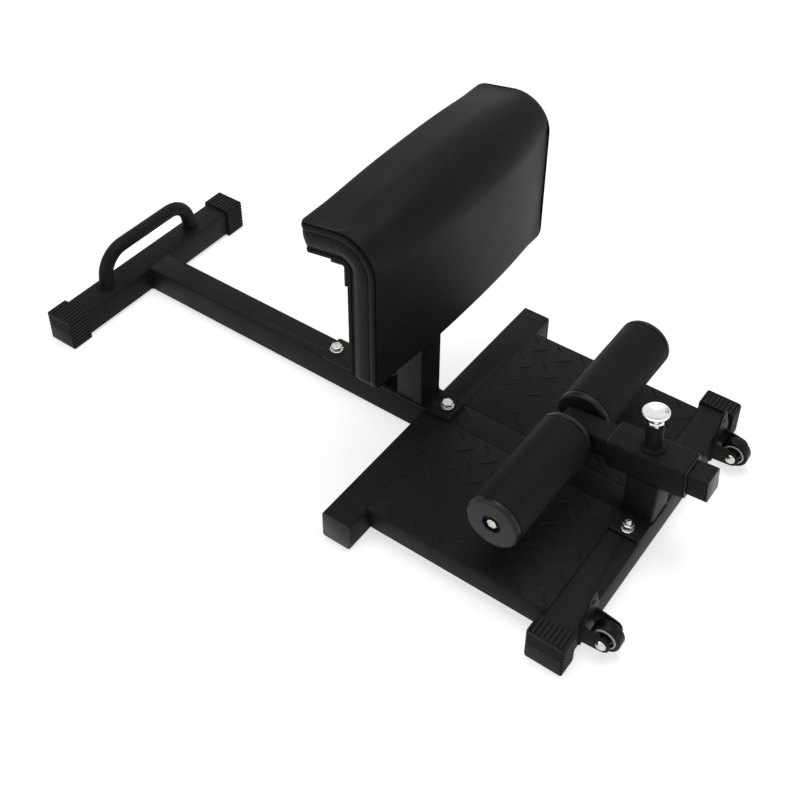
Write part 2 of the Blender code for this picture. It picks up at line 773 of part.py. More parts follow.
def build_roller_support():
    flange_z = DECK_Z + GAP + FLANGE_THICK / 2
    outline = rounded_rectangle(TUBE, FLANGE_LENGTH, TUBE_CORNER)
    flange = add_object("roller_flange", extruded(outline, FLANGE_THICK), black_steel(),
                        at(OUTER_BAR_X, 0, flange_z))
    outer_bar = bpy.data.objects["outer_crossbar"]
    hole = FLANGE_BOLT + 2 * BOLT_PLAY
    seat_z = TUBE_Z - TUBE / 2 - GAP
    thread = FLANGE_BOLT / 2
    for side, sign in SIDES:
        y = sign * FLANGE_BOLT_Y
        drill(flange, "flange_hole_" + side, hole, OUTER_BAR_X, y, flange_z, 3 * FLANGE_THICK)
        drill(outer_bar, "crossbar_hole_" + side, hole, OUTER_BAR_X, y, TUBE_Z, 2 * TUBE)
        head = dome(FLANGE_BOLT_DOME / 2, FLANGE_BOLT_DOME_HEIGHT)
        profile = [(radius, seat_z - height) for radius, height in head]
        profile += [(thread, seat_z),
                    (thread, FLANGE_BOLT_TOP - BOLT_CHAMFER),
                    (thread - BOLT_CHAMFER, FLANGE_BOLT_TOP),
                    (0, FLANGE_BOLT_TOP)]
        add_object("flange_bolt_" + side, turned(profile, BOLT_STEPS), zinc_steel(),
                   at(OUTER_BAR_X, y, 0))
        add_object("flange_nut_" + side,
                   nut(FLANGE_NUT, FLANGE_BOLT + 2 * GAP, FLANGE_NUT_HEIGHT), zinc_steel(),
                   at(OUTER_BAR_X, y, FLANGE_TOP_Z + GAP))

    outer = rounded_rectangle(TUBE, TUBE, TUBE_CORNER)
    bore = TUBE - 2 * TUBE_WALL
    inner = rounded_rectangle(bore, bore, TUBE_CORNER - TUBE_WALL)
    under = PIVOT_Z - (TUBE / 2 + GAP) / math.cos(SLEEVE_TILT)

    def foot(points):
        return [(x, y, FLANGE_TOP_Z + GAP) for x, y in points]

    def head(points):
        return [(x, y, under + x * math.tan(SLEEVE_TILT)) for x, y in points]

    add_object("roller_post", loft([foot(outer), head(outer), head(inner), foot(inner)], ring=True),
               black_steel(), at(OUTER_BAR_X, 0, 0))


def add_bushing(name, tilt, sign):
    """A plastic guide in one end of the sleeve. Its lip covers the sleeve's end."""
    side = TUBE - 2 * SLEEVE_WALL - 2 * GAP
    bore = SLIDE_TUBE + 2 * RUNNING_GAP
    lip = side + 2 * BUSHING_LIP_OVER
    body_loop = rounded_rectangle(side, side, TUBE_CORNER / 2)
    lip_loop = rounded_rectangle(lip, lip, TUBE_CORNER)
    bore_loop = rounded_rectangle(bore, bore, SLIDE_CORNER)
    bm = loft([level(body_loop, -BUSHING_LENGTH),
               level(body_loop, 0),
               level(lip_loop, 0),
               level(lip_loop, BUSHING_LIP),
               level(bore_loop, BUSHING_LIP),
               level(bore_loop, -BUSHING_LENGTH)], ring=True)
    end = sign * (SLEEVE_LENGTH / 2 + GAP)
    turn = math.pi / 2 if sign > 0 else -math.pi / 2
    add_object(name, bm, black_plastic(), (end, 0, 0), (0, turn, 0), tilt)


def build_sleeve():
    """The tilted sleeve. Its empty has X along the slide and Z along the pull pin."""
    tilt = add_axis("sleeve_axis", at(OUTER_BAR_X, 0, PIVOT_Z), (0, -SLEEVE_TILT, 0))
    sleeve = add_object("roller_sleeve",
                        square_tube(TUBE, SLEEVE_WALL, TUBE_CORNER, SLEEVE_LENGTH), black_steel(),
                        (0, 0, 0), ALONG_X, tilt)
    hole = PIN + 2 * RUNNING_GAP
    cut(sleeve, "sleeve_pin_hole", cylinder(hole / 2, 4 * SLEEVE_WALL, SHAFT_STEPS),
        (0, 0, TUBE / 2), UPRIGHT, tilt)
    add_bushing("sleeve_bushing_front", tilt, 1)
    add_bushing("sleeve_bushing_rear", tilt, -1)
    low = TUBE / 2 + GAP
    profile = [(hole / 2, low),
               (BARREL_WELD / 2, low),
               (BARREL / 2 + BARREL_WELD_HEIGHT / 4, low + BARREL_WELD_HEIGHT / 3),
               (BARREL / 2, low + BARREL_WELD_HEIGHT),
               (BARREL / 2, low + BARREL_HEIGHT),
               (hole / 2, low + BARREL_HEIGHT)]
    add_object("pin_barrel", turned(profile, SHAFT_STEPS, closed=True), black_steel(),
               (0, 0, 0), UPRIGHT, tilt)


def build_carriage():
    """The slide tube, its nose plug and the rollers' axle."""
    carriage = add_axis("roller_carriage_axis", at(OUTER_BAR_X, 0, PIVOT_Z), (0, -SLEEVE_TILT, 0))
    length = SLIDE_FRONT + SLIDE_REAR
    middle = (SLIDE_FRONT - SLIDE_REAR) / 2
    slide = add_object("slide_tube", square_tube(SLIDE_TUBE, SLIDE_WALL, SLIDE_CORNER, length),
                       black_steel(), (middle, 0, 0), ALONG_X, carriage)
    hole = PIN + 2 * RUNNING_GAP
    for i in range(int(SLIDE_TRAVEL / SLIDE_HOLE_PITCH + 0.5) + 1):
        cut(slide, f"slide_hole_{i}", cylinder(hole / 2, 4 * SLIDE_WALL, SHAFT_STEPS),
            (i * SLIDE_HOLE_PITCH, 0, SLIDE_TUBE / 2), UPRIGHT, carriage)
    cut(slide, "slide_axle_hole", cylinder(AXLE / 2 + GAP, 2 * SLIDE_TUBE, SHAFT_STEPS),
        (-AXLE_BACK, 0, 0), ALONG_Y, carriage)
    bore = SLIDE_TUBE - 2 * SLIDE_WALL - 2 * GAP
    neck = rounded_rectangle(bore, bore, SLIDE_CORNER - SLIDE_WALL)
    head = rounded_rectangle(SLIDE_TUBE, SLIDE_TUBE, SLIDE_CORNER)
    bm = loft([level(neck, -PLUG_DEPTH),
               level(neck, 0),
               level(head, 0),
               level(head, SLIDE_PLUG_HEAD)])
    add_object("slide_plug", bm, black_plastic(), (SLIDE_FRONT + GAP, 0, 0), ALONG_X, carriage)

    cap_floor = ROLLER_OUTER_Y - ROLLER_RECESS_DEPTH
    axle_end = cap_floor - GAP
    thread = ROLLER_SCREW / 2
    reach = 2 * ROLLER_CAP_DISC
    hole = thread + GAP
    profile = [(0, reach - axle_end),
               (hole, reach - axle_end),
               (hole, -axle_end),
               (AXLE / 2, -axle_end),
               (AXLE / 2, axle_end),
               (hole, axle_end),
               (hole, axle_end - reach),
               (0, axle_end - reach)]
    add_object("roller_axle", turned(profile, SHAFT_STEPS), zinc_steel(), (-AXLE_BACK, 0, 0),
               ALONG_Y, carriage)
    for side, sign in SIDES:
        bm = bolt(ROLLER_SCREW, reach - GAP, ROLLER_WASHER, WASHER_THICK / 2, ROLLER_SCREW_HEAD,
                  ROLLER_RECESS_DEPTH / 2)
        add_object("roller_screw_" + side, bm, zinc_steel(),
                   (-AXLE_BACK, sign * (cap_floor + GAP), 0),
                   ALONG_Y if sign > 0 else AGAINST_Y, carriage)
        build_roller(carriage, side, sign)


def build_roller(carriage, side, sign):
    """A foam roller that turns on its two end caps. Its empty has Z along the axle, outwards."""
    axis = add_axis("roller_axis_" + side, (-AXLE_BACK, 0, 0),
                    ALONG_Y if sign > 0 else AGAINST_Y, carriage)
    radius = ROLLER_DIAMETER / 2
    bore = AXLE / 2 + RUNNING_GAP
    foam_start = ROLLER_INNER_Y + ROLLER_CAP_DISC + GAP
    foam_end = ROLLER_OUTER_Y - ROLLER_CAP_DISC - GAP
    foam_bore = ROLLER_BOSS / 2 + GAP
    profile = [(foam_bore, foam_start), (radius, foam_start), (radius, foam_end),
               (foam_bore, foam_end)]
    add_object("roller_foam_" + side, turned(profile, ROLLER_STEPS, closed=True), black_foam(),
               (0, 0, 0), UPRIGHT, axis)

    disc_back = ROLLER_CAP_DISC
    boss_back = ROLLER_CAP_DISC + ROLLER_CAP_BOSS
    boss = ROLLER_BOSS / 2
    edge = ROLLER_CAP_ROUND
    disc = [(boss, boss_back), (boss, disc_back), (radius, disc_back)]
    for i in range(CORNER_STEPS + 1):
        turn = math.pi / 2 * i / CORNER_STEPS
        disc.append((radius - edge * (1 - math.cos(turn)), edge * (1 - math.sin(turn))))
    inner = [(bore, 0), (bore, boss_back)] + disc
    recess = ROLLER_RECESS / 2
    outer = [(bore, ROLLER_RECESS_DEPTH), (bore, boss_back)] + disc + [
        (recess, 0), (recess, ROLLER_RECESS_DEPTH)]
    inner_cap = [(r, ROLLER_INNER_Y + depth) for r, depth in inner]
    outer_cap = [(r, ROLLER_OUTER_Y - depth) for r, depth in outer]
    add_object("roller_cap_inner_" + side, turned(inner_cap, ROLLER_STEPS, closed=True),
               black_plastic(), (0, 0, 0), UPRIGHT, axis)
    add_object("roller_cap_outer_" + side, turned(outer_cap, ROLLER_STEPS, closed=True),
               black_plastic(), (0, 0, 0), UPRIGHT, axis)


def build_pull_pin():
    """The spring pin that locks the slide. At rest its tip is just clear of the slide tube."""
    axis = add_axis("pull_pin_axis", at(OUTER_BAR_X, 0, PIVOT_Z), (0, -SLEEVE_TILT, 0))
    tip = SLIDE_TUBE / 2 + GAP
    nut_low = TUBE / 2 + GAP + BARREL_HEIGHT + GAP
    knob_low = nut_low + PIN_NUT_HEIGHT + GAP
    knob_top = knob_low + KNOB_HEIGHT
    socket = knob_low + KNOB_HEIGHT / 2
    radius = PIN / 2
    profile = [(0, tip), (radius - PIN_CHAMFER, tip), (radius, tip + PIN_CHAMFER),
               (radius, socket - GAP), (0, socket - GAP)]
    add_object("pull_pin", turned(profile, SHAFT_STEPS), zinc_steel(), (0, 0, 0), UPRIGHT, axis)
    add_object("pin_nut", nut(PIN_NUT, PIN + 2 * GAP, PIN_NUT_HEIGHT), chrome(),
               (0, 0, nut_low), UPRIGHT, axis)
    stem = KNOB_STEM / 2
    rim = KNOB_RIM / 2
    flare = KNOB_HEIGHT - KNOB_STEM_LENGTH - KNOB_BAND
    profile = [(radius + GAP, knob_low), (stem, knob_low)]
    for i in range(BEND_STEPS + 1):
        turn = math.pi / 2 * i / BEND_STEPS
        profile.append((stem + (rim - stem) * (1 - math.cos(turn)),
                        knob_low + KNOB_STEM_LENGTH + flare * math.sin(turn)))
    profile += [(rim, knob_top),
                (rim - KNOB_LIP, knob_top),
                (rim - KNOB_LIP - KNOB_DISH, knob_top - KNOB_DISH),
                (0, knob_top - KNOB_DISH),
                (0, socket),
                (radius + GAP, socket)]
    add_object("pin_knob", turned(profile, WHEEL_STEPS, closed=True), chrome(), (0, 0, 0), UPRIGHT,
               axis)


def ear_outline():
    """The bracket's back plate: upright sides below, a triangle with a round tip above."""
    half = BRACKET_WIDTH / 2
    rise = EAR_TIP_Z - EAR_BASE_Z
    edge = math.atan2(rise, -half) - math.asin(EAR_TIP_RADIUS / math.hypot(half, rise))
    start = edge - math.pi / 2
    points = [(-half, BRACKET_BOTTOM_Z), (half, BRACKET_BOTTOM_Z), (half, EAR_BASE_Z)]
    for i in range(BEND_STEPS + 1):
        turn = start + (math.pi - 2 * start) * i / BEND_STEPS
        points.append((EAR_TIP_RADIUS * math.cos(turn), EAR_TIP_Z + EAR_TIP_RADIUS * math.sin(turn)))
    points.append((-half, EAR_BASE_Z))
    return points


def cheek_outline():
    """A bracket's cheek, from inside its back plate to a round end at the axle."""
    root = GAP + BRACKET_SHEET / 2
    points = [(root, CHEEK_BACK_TOP_Z), (root, CHEEK_BACK_LOW_Z)]
    for i in range(BEND_STEPS + 1):
        turn = math.pi * (i / BEND_STEPS - 0.5)
        points.append((WHEEL_REACH + CHEEK_RADIUS * math.cos(turn),
                       WHEEL_Z + CHEEK_RADIUS * math.sin(turn)))
    return points


def add_wheel_bracket(side, sign):
    bar_front = OUTER_BAR_X + TUBE / 2
    plate_x = bar_front + GAP + BRACKET_SHEET / 2
    facing_front = (math.pi / 2, 0, math.pi / 2)
    name = "wheel_bracket_" + side
    bracket = add_object(name, extruded(ear_outline(), BRACKET_SHEET), black_steel(),
                         at(plate_x, sign * WHEEL_Y, 0), facing_front)
    for place, offset in (("inner", -1), ("outer", 1)):
        cheek_y = sign * (WHEEL_Y + offset * (CHEEK_OFFSET + BRACKET_SHEET / 2))
        join(bracket, f"{name}_{place}_cheek", extruded(cheek_outline(), BRACKET_SHEET),
             at(bar_front, cheek_y, 0), AGAINST_Y)
    cut(bracket, name + "_axle_hole",
        cylinder(WHEEL_AXLE / 2 + GAP, 2 * BRACKET_WIDTH, SHAFT_STEPS),
        at(bar_front + WHEEL_REACH, sign * WHEEL_Y, WHEEL_Z), ALONG_Y)
    cut(bracket, name + "_eye", cylinder(EAR_HOLE / 2, 4 * BRACKET_SHEET, SHAFT_STEPS),
        at(plate_x, sign * WHEEL_Y, EAR_HOLE_Z), ALONG_X)


def build_wheels():
    """Small wheels that meet the floor only when the machine is tipped up by its handle."""
    radius = WHEEL_DIAMETER / 2
    half = WHEEL_WIDTH / 2
    rim = TYRE_INNER / 2
    shoulder = TYRE_SHOULDER
    tyre = [(rim, -half), (radius - shoulder, -half), (radius, shoulder - half),
            (radius, half - shoulder), (radius - shoulder, half), (rim, half)]
    bore = WHEEL_AXLE / 2 + RUNNING_GAP
    boss_end = CHEEK_OFFSET - GAP
    rim_inside = rim - WHEEL_RIM
    hub = [(bore, -boss_end), (WHEEL_BOSS / 2, -boss_end), (WHEEL_BOSS / 2, -WHEEL_WEB / 2),
           (rim_inside, -WHEEL_WEB / 2), (rim_inside, -half), (rim - GAP, -half)]
    hub += [(r, -z) for r, z in reversed(hub)]
    grip = CHEEK_OFFSET + BRACKET_SHEET + GAP
    shank = WHEEL_AXLE / 2
    head = dome(WHEEL_RIVET / 2, WHEEL_RIVET_HEIGHT)
    rivet = [(radius, -grip - height) for radius, height in head] + [(shank, -grip)]
    rivet += [(r, -z) for r, z in reversed(rivet)]
    for side, sign in SIDES:
        add_wheel_bracket(side, sign)
        axis = add_axis("wheel_axis_" + side,
                        at(OUTER_BAR_X + TUBE / 2 + WHEEL_REACH, sign * WHEEL_Y, WHEEL_Z),
                        ALONG_Y if sign > 0 else AGAINST_Y)
        add_object("wheel_tyre_" + side, turned(tyre, WHEEL_STEPS, closed=True), black_rubber(),
                   (0, 0, 0), UPRIGHT, axis)
        add_object("wheel_hub_" + side, turned(hub, WHEEL_STEPS, closed=True), cream_plastic(),
                   (0, 0, 0), UPRIGHT, axis)
        add_object("wheel_axle_" + side, turned(rivet, SHAFT_STEPS), zinc_steel(), (0, 0, 0),
                   UPRIGHT, axis)


def main():
    clear_scene()
    build_rear()
    build_deck()
    build_upright()
    build_pad()
    build_roller_support()
    build_sleeve()
    build_carriage()
    build_pull_pin()
    build_wheels()


main()
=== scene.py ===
"""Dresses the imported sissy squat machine: its finishes, soft pieces, fasteners and stage.

Everything is in metres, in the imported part's own frame: +X runs from the carry handle to the foot
rollers, +Z is up, and the right-hand pieces are those on the +Y side.
"""

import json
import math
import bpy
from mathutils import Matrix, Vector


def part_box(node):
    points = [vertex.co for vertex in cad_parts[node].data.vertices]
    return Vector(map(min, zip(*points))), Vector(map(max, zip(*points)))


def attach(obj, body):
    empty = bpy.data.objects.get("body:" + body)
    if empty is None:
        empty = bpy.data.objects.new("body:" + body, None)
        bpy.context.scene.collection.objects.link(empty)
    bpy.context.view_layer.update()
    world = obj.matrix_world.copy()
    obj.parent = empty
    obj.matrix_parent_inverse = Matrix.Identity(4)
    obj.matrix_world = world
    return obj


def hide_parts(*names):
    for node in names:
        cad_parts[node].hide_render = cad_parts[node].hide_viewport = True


bl_info = {
    "name": "Sissy Squat Machine Dressing",
    "version": (1, 0, 0),
    "blender": (4, 5, 0),
    "location": "View3D > Sidebar > Squat",
    "description": "Builds the looks of a sissy squat machine round its packed solids",
    "category": "Object",
}

import bmesh
import bpy
from mathutils import Matrix, Vector, noise

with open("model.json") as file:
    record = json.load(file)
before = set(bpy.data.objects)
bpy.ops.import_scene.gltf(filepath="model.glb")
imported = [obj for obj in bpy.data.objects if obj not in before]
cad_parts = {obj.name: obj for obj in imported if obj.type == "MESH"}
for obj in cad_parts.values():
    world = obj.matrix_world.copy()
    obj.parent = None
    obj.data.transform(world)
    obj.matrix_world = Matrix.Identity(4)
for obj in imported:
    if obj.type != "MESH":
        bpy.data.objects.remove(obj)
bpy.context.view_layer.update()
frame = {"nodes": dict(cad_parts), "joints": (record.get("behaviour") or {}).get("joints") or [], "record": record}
NODES = frame["nodes"]
JOINTS = {joint["name"]: joint for joint in frame["joints"]}
SIDES = (("left", -1), ("right", 1))

# Faces and centres of the solids that other pieces are set against
REAR_BAR_LOW, REAR_BAR_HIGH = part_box("rear_crossbar")
INNER_BAR_LOW, INNER_BAR_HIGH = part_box("inner_crossbar")
OUTER_BAR_LOW, OUTER_BAR_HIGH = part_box("outer_crossbar")
BEAM_LOW, BEAM_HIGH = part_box("main_beam")
POST_LOW, POST_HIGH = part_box("upright_post")
BRACE_LOW, BRACE_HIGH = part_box("upright_brace")
BOARD_LOW, BOARD_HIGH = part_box("pad_board")
PLATE_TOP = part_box("upright_base_plate")[1].z
FLANGE_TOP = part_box("roller_flange")[1].z
DECK_Z = OUTER_BAR_HIGH.z
TUBE_HALF = BEAM_HIGH.y
REAR_X = (REAR_BAR_LOW.x + REAR_BAR_HIGH.x) / 2
OUTER_X = (OUTER_BAR_LOW.x + OUTER_BAR_HIGH.x) / 2

# The slide's direction, the pull pin's direction and the point where the two lines cross
SLIDE = Vector(JOINTS["roller_slide"]["axis"])
PIN_UP = Vector(JOINTS["pin_pull"]["axis"])
ROLLER_CENTRE = Vector(JOINTS["roller_turn_left"]["pos_m"])
PIVOT = ROLLER_CENTRE + SLIDE * ((OUTER_X - ROLLER_CENTRE.x) / SLIDE.x)

# The gap between fitted pieces, how far a weld stops short of a corner, how much its ripples
# vary in size, and the inner radius of an M8 washer
GAP = 0.0003
WELD_SHORT = 0.003
WELD_WANDER = 0.16
M8_BORE = 0.0042


class SquatSizes(bpy.types.PropertyGroup):
    """Sizes that a user would change."""

    edge_round: bpy.props.FloatProperty(
        name="Steel edge", description="Rounding of cut steel edges",
        default=0.0006, min=0.0001, unit="LENGTH")
    weld_size: bpy.props.FloatProperty(
        name="Weld bead", description="Radius of a weld bead", default=0.0022, unit="LENGTH")
    weld_pitch: bpy.props.FloatProperty(
        name="Weld ripple", description="Distance between a bead's ripples",
        default=0.0021, unit="LENGTH")
    handle_tube: bpy.props.FloatProperty(
        name="Handle tube", description="Diameter of the carry handle's tube",
        default=0.025, unit="LENGTH")
    handle_bend: bpy.props.FloatProperty(
        name="Handle bend", description="Radius of the handle's bends",
        default=0.046, unit="LENGTH")
    handle_lean: bpy.props.FloatProperty(
        name="Handle lean", description="How far the handle's legs lean inwards",
        default=math.radians(9), subtype="ANGLE")
    mark_length: bpy.props.FloatProperty(
        name="Tread mark length", description="Length of a raised tread mark",
        default=0.0335, unit="LENGTH")
    mark_width: bpy.props.FloatProperty(
        name="Tread mark width", description="Width of a raised tread mark",
        default=0.0050, unit="LENGTH")
    mark_height: bpy.props.FloatProperty(
        name="Tread mark height", description="Height of a raised tread mark",
        default=0.0013, unit="LENGTH")
    mark_pitch: bpy.props.FloatVectorProperty(
        name="Tread mark pitch", description="Distance between marks that point the same way",
        size=2, default=(0.0440, 0.0484), unit="LENGTH")
    rib_depth: bpy.props.FloatProperty(
        name="Cap rib depth", description="Depth of the grooves between an end cap's ribs",
        default=0.0028, unit="LENGTH")
    foam_shoulder: bpy.props.FloatProperty(
        name="Foam shoulder", description="Rounding of a foam roller's ends",
        default=0.0035, unit="LENGTH")
    pad_crown: bpy.props.FloatProperty(
        name="Pad crown",
        description="Height of the calf pad's cover over its seam, half way along",
        default=0.0195, unit="LENGTH")
    pad_end_crown: bpy.props.FloatProperty(
        name="Pad end crown", description="Height of the cover over its seam at the pad's ends",
        default=0.0030, unit="LENGTH")
    pad_grid: bpy.props.FloatProperty(
        name="Pad grid", description="Voxel size of the cover before it swells",
        default=0.0045, unit="LENGTH")
    pad_pressure: bpy.props.FloatProperty(
        name="Pad pressure", description="Pressure inside the cover while it swells", default=4.0)
    pad_swell: bpy.props.FloatProperty(
        name="Pad swell", description="Farthest that the pressure may move the cover",
        default=0.0060, unit="LENGTH")
    band_width: bpy.props.FloatProperty(
        name="Pad band", description="Width of the sewn band along the pad's edge",
        default=0.0100, unit="LENGTH")
    seam_depth: bpy.props.FloatProperty(
        name="Seam", description="Depth of the stitched groove", default=0.0007, unit="LENGTH")
    stitch_pitch: bpy.props.FloatProperty(
        name="Stitch pitch", description="Distance between stitches", default=0.0045, unit="LENGTH")


class SquatColours(bpy.types.PropertyGroup):
    """Colours that a user would change."""

    powder: bpy.props.FloatVectorProperty(
        name="Powder coat", description="Colour of the painted steel", subtype="COLOR",
        default=(0.0105, 0.0105, 0.0112))
    vinyl: bpy.props.FloatVectorProperty(
        name="Leatherette", description="Colour of the calf pad's cover", subtype="COLOR",
        default=(0.0075, 0.0075, 0.0080))
    foam: bpy.props.FloatVectorProperty(
        name="Foam", description="Colour of the foot rollers", subtype="COLOR",
        default=(0.0120, 0.0120, 0.0125))
    plastic: bpy.props.FloatVectorProperty(
        name="Black plastic", description="Colour of the moulded plastic", subtype="COLOR",
        default=(0.0110, 0.0110, 0.0115))
    rubber: bpy.props.FloatVectorProperty(
        name="Black rubber", description="Colour of the end caps and tyres", subtype="COLOR",
        default=(0.0140, 0.0140, 0.0140))
    board: bpy.props.FloatVectorProperty(
        name="Board cloth", description="Colour of the cloth on the pad's board",
        subtype="COLOR", default=(0.0100, 0.0098, 0.0095))
    zinc: bpy.props.FloatVectorProperty(
        name="Zinc", description="Colour of the zinc plated fasteners", subtype="COLOR",
        default=(0.60, 0.60, 0.58))
    chrome: bpy.props.FloatVectorProperty(
        name="Chrome", description="Colour of the chromed knob", subtype="COLOR",
        default=(0.78, 0.78, 0.79))
    cream: bpy.props.FloatVectorProperty(
        name="Cream plastic", description="Colour of the wheels' rings", subtype="COLOR",
        default=(0.88, 0.84, 0.74))
    floor: bpy.props.FloatVectorProperty(
        name="Floor", description="Colour of the studio floor", subtype="COLOR",
        default=(0.80, 0.80, 0.80))


def sizes():
    return bpy.context.scene.squat_sizes


def colours():
    return bpy.context.scene.squat_colours


# Finishes

def add_node(owner, kind, **values):
    """Adds a node and sets its properties, or its inputs where a value's name is an input."""
    node = owner.node_tree.nodes.new(kind)
    for key, value in values.items():
        if key in node.inputs:
            node.inputs[key].default_value = value
        else:
            setattr(node, key, value)
    return node


def link(owner, source, output, target, entry):
    owner.node_tree.links.new(source.outputs[output], target.inputs[entry])


def mottle(material, shader, place, colour, scale, shift):
    """Lets the colour drift a little, lighter and darker, in soft clouds."""
    cloud = add_node(material, "ShaderNodeTexNoise", Scale=scale, Detail=3.0, Roughness=0.6)
    ramp = add_node(material, "ShaderNodeValToRGB")
    for stop, position, share in zip(ramp.color_ramp.elements, (0.32, 0.68),
                                     (1 - shift, 1 + shift)):
        stop.position = position
        stop.color = (*[value * share for value in colour], 1)
    link(material, place, "Object", cloud, "Vector")
    link(material, cloud, "Fac", ramp, "Fac")
    link(material, ramp, "Color", shader, "Base Color")


def vary_roughness(material, shader, place, scale, low, high):
    """Lets the gloss drift between two roughness values, as handled surfaces do."""
    cloud = add_node(material, "ShaderNodeTexNoise", Scale=scale, Detail=4.0, Roughness=0.65)
    span = add_node(material, "ShaderNodeMapRange")
    for entry, value in zip(("From Min", "From Max", "To Min", "To Max"), (0.3, 0.7, low, high)):
        span.inputs[entry].default_value = value
    link(material, place, "Object", cloud, "Vector")
    link(material, cloud, "Fac", span, "Value")
    link(material, span, "Result", shader, "Roughness")


def clouds(scale, detail, roughness, strength, depth, **more):
    """A cloudy grain: its texture, the output that gives its height, and its bump."""
    values = {"Scale": scale, "Detail": detail, "Roughness": roughness, **more}
    return "ShaderNodeTexNoise", "Fac", values, strength, depth


def cells(scale, strength, depth, **more):
    """A grain of small cells, given in the same way."""
    return "ShaderNodeTexVoronoi", "Distance", {"Scale": scale, **more}, strength, depth


def turned_rings(scale, distortion, strength, depth):
    """The fine rings of a turned face, given in the same way."""
    values = {"wave_type": "RINGS", "rings_direction": "Z", "Scale": scale,
              "Distortion": distortion}
    return "ShaderNodeTexWave", "Fac", values, strength, depth


def finish(name, colour, roughness, drift, gloss, *grains, metallic=0.0, specular=0.5, about=None):
    """A material, made once: a shader whose colour and gloss drift, with grains in its surface.

    drift holds the scale and the strength of the colour's clouds, gloss the scale of the gloss's
    clouds and its two roughness values. The grains run from the broadest to the finest, and
    about is the place and the turn of those that have a centre.
    """
    made = bpy.data.materials.get(name)
    if made:
        return made
    made = bpy.data.materials.new(name)
    made.use_nodes = True
    made.diffuse_color = (*colour, 1.0)
    shader = made.node_tree.nodes["Principled BSDF"]
    for entry, value in (("Base Color", (*colour, 1.0)), ("Roughness", roughness),
                         ("Metallic", metallic), ("Specular IOR Level", specular)):
        shader.inputs[entry].default_value = value
    place = add_node(made, "ShaderNodeTexCoord")
    mottle(made, shader, place, colour, *drift)
    vary_roughness(made, shader, place, *gloss)
    source, output = place, "Object"
    if about:
        source, output = add_node(made, "ShaderNodeMapping", vector_type="TEXTURE",
                                  Location=about[0], Rotation=about[1]), "Vector"
        link(made, place, "Object", source, "Vector")
    bump = None
    for kind, height, values, strength, depth in grains:
        texture = add_node(made, kind, **values)
        link(made, source, output, texture, "Vector")
        below, bump = bump, add_node(made, "ShaderNodeBump", Strength=strength, Distance=depth)
        link(made, texture, height, bump, "Height")
        if below:
            link(made, below, "Normal", bump, "Normal")
    link(made, bump, "Normal", shader, "Normal")
    return made


def powder_coat():
    """Matt black powder coat with a fine sandy skin."""
    return finish("black_powder_coat_finish", colours().powder, 0.5, (160.0, 0.22),
                  (9.0, 0.46, 0.60), clouds(230.0, 1.0, 0.5, 0.30, 0.0003),
                  clouds(1150.0, 2.0, 0.55, 0.55, 0.0002), specular=0.10)


def leatherette():
    """Black satin leatherette with a fine pebbled grain."""
    return finish("black_vinyl_finish", colours().vinyl, 0.44, (14.0, 0.12), (11.0, 0.40, 0.48),
                  clouds(95.0, 3.0, 0.6, 0.10, 0.0006),
                  cells(900.0, 0.18, 0.00012, feature="SMOOTH_F1"), specular=0.09)


def thread_and_painted_seam_shade():
    """Dull black thread of the pad's stitches; the same darker-than-vinyl finish on the main seam's cord is
    painted shade.
    """
    # Three tenths of the vinyl's colour: the stitches' own thread, and painted shade where the seam cord lies in
    # the main seam's groove
    colour = [value * 0.3 for value in colours().vinyl]
    return finish("black_thread_and_painted_seam_shade_finish", colour, 0.8, (300.0, 0.25), (200.0, 0.70, 0.90),
                  clouds(1700.0, 2.0, 0.5, 0.40, 0.0002), specular=0.04)


def roller_foam():
    """Dense black closed-cell foam with a dull, finely pored skin."""
    return finish("black_foam_finish", colours().foam, 0.6, (220.0, 0.18), (25.0, 0.52, 0.64),
                  clouds(60.0, 2.0, 0.5, 0.12, 0.0008), cells(1300.0, 0.30, 0.00012),
                  specular=0.08)


def moulded_plastic():
    """Black moulded plastic with a satin spark-eroded grain."""
    return finish("black_plastic_finish", colours().plastic, 0.35, (90.0, 0.10),
                  (40.0, 0.30, 0.42), clouds(1500.0, 2.0, 0.6, 0.16, 0.00012), specular=0.22)


def cap_rubber():
    """Black rubber of the end caps, with a dry bloom."""
    return finish("black_rubber_finish", colours().rubber, 0.6, (120.0, 0.25),
                  (60.0, 0.48, 0.66), clouds(900.0, 3.0, 0.6, 0.28, 0.0002), specular=0.13)


def tyre_rubber():
    """Shiny black rubber of the wheels' treads."""
    colour = [value * 0.5 for value in colours().rubber]
    return finish("black_tyre_finish", colour, 0.25, (110.0, 0.20), (70.0, 0.18, 0.32),
                  clouds(700.0, 3.0, 0.6, 0.14, 0.00015), specular=0.12)


def board_cloth():
    """Black non-woven cloth glued over the pad's board."""
    return finish("black_board_finish", colours().board, 0.8, (300.0, 0.35), (50.0, 0.72, 0.88),
                  cells(420.0, 0.35, 0.0003),
                  clouds(700.0, 5.0, 0.75, 0.45, 0.0003, Distortion=1.5), specular=0.12)


def zinc_plate():
    """Bright zinc plating, faintly clouded."""
    return finish("zinc_steel_finish", colours().zinc, 0.28, (260.0, 0.16), (180.0, 0.18, 0.38),
                  clouds(1800.0, 2.0, 0.6, 0.12, 0.00008), metallic=1.0)


def chrome_plate():
    """Polished chrome with faint handling haze, turned about the pull pin."""
    lean = (0, -math.atan2(SLIDE.z, SLIDE.x), 0)
    return finish("chrome_finish", colours().chrome, 0.1, (90.0, 0.03), (120.0, 0.14, 0.24),
                  turned_rings(900.0, 0.4, 0.45, 0.00004), metallic=1.0, about=(PIVOT, lean))


def ring_plastic():
    """Cream plastic of the wheels' rings."""
    return finish("cream_plastic_finish", colours().cream, 0.4, (150.0, 0.10),
                  (90.0, 0.32, 0.48), clouds(1400.0, 2.0, 0.6, 0.15, 0.0001))


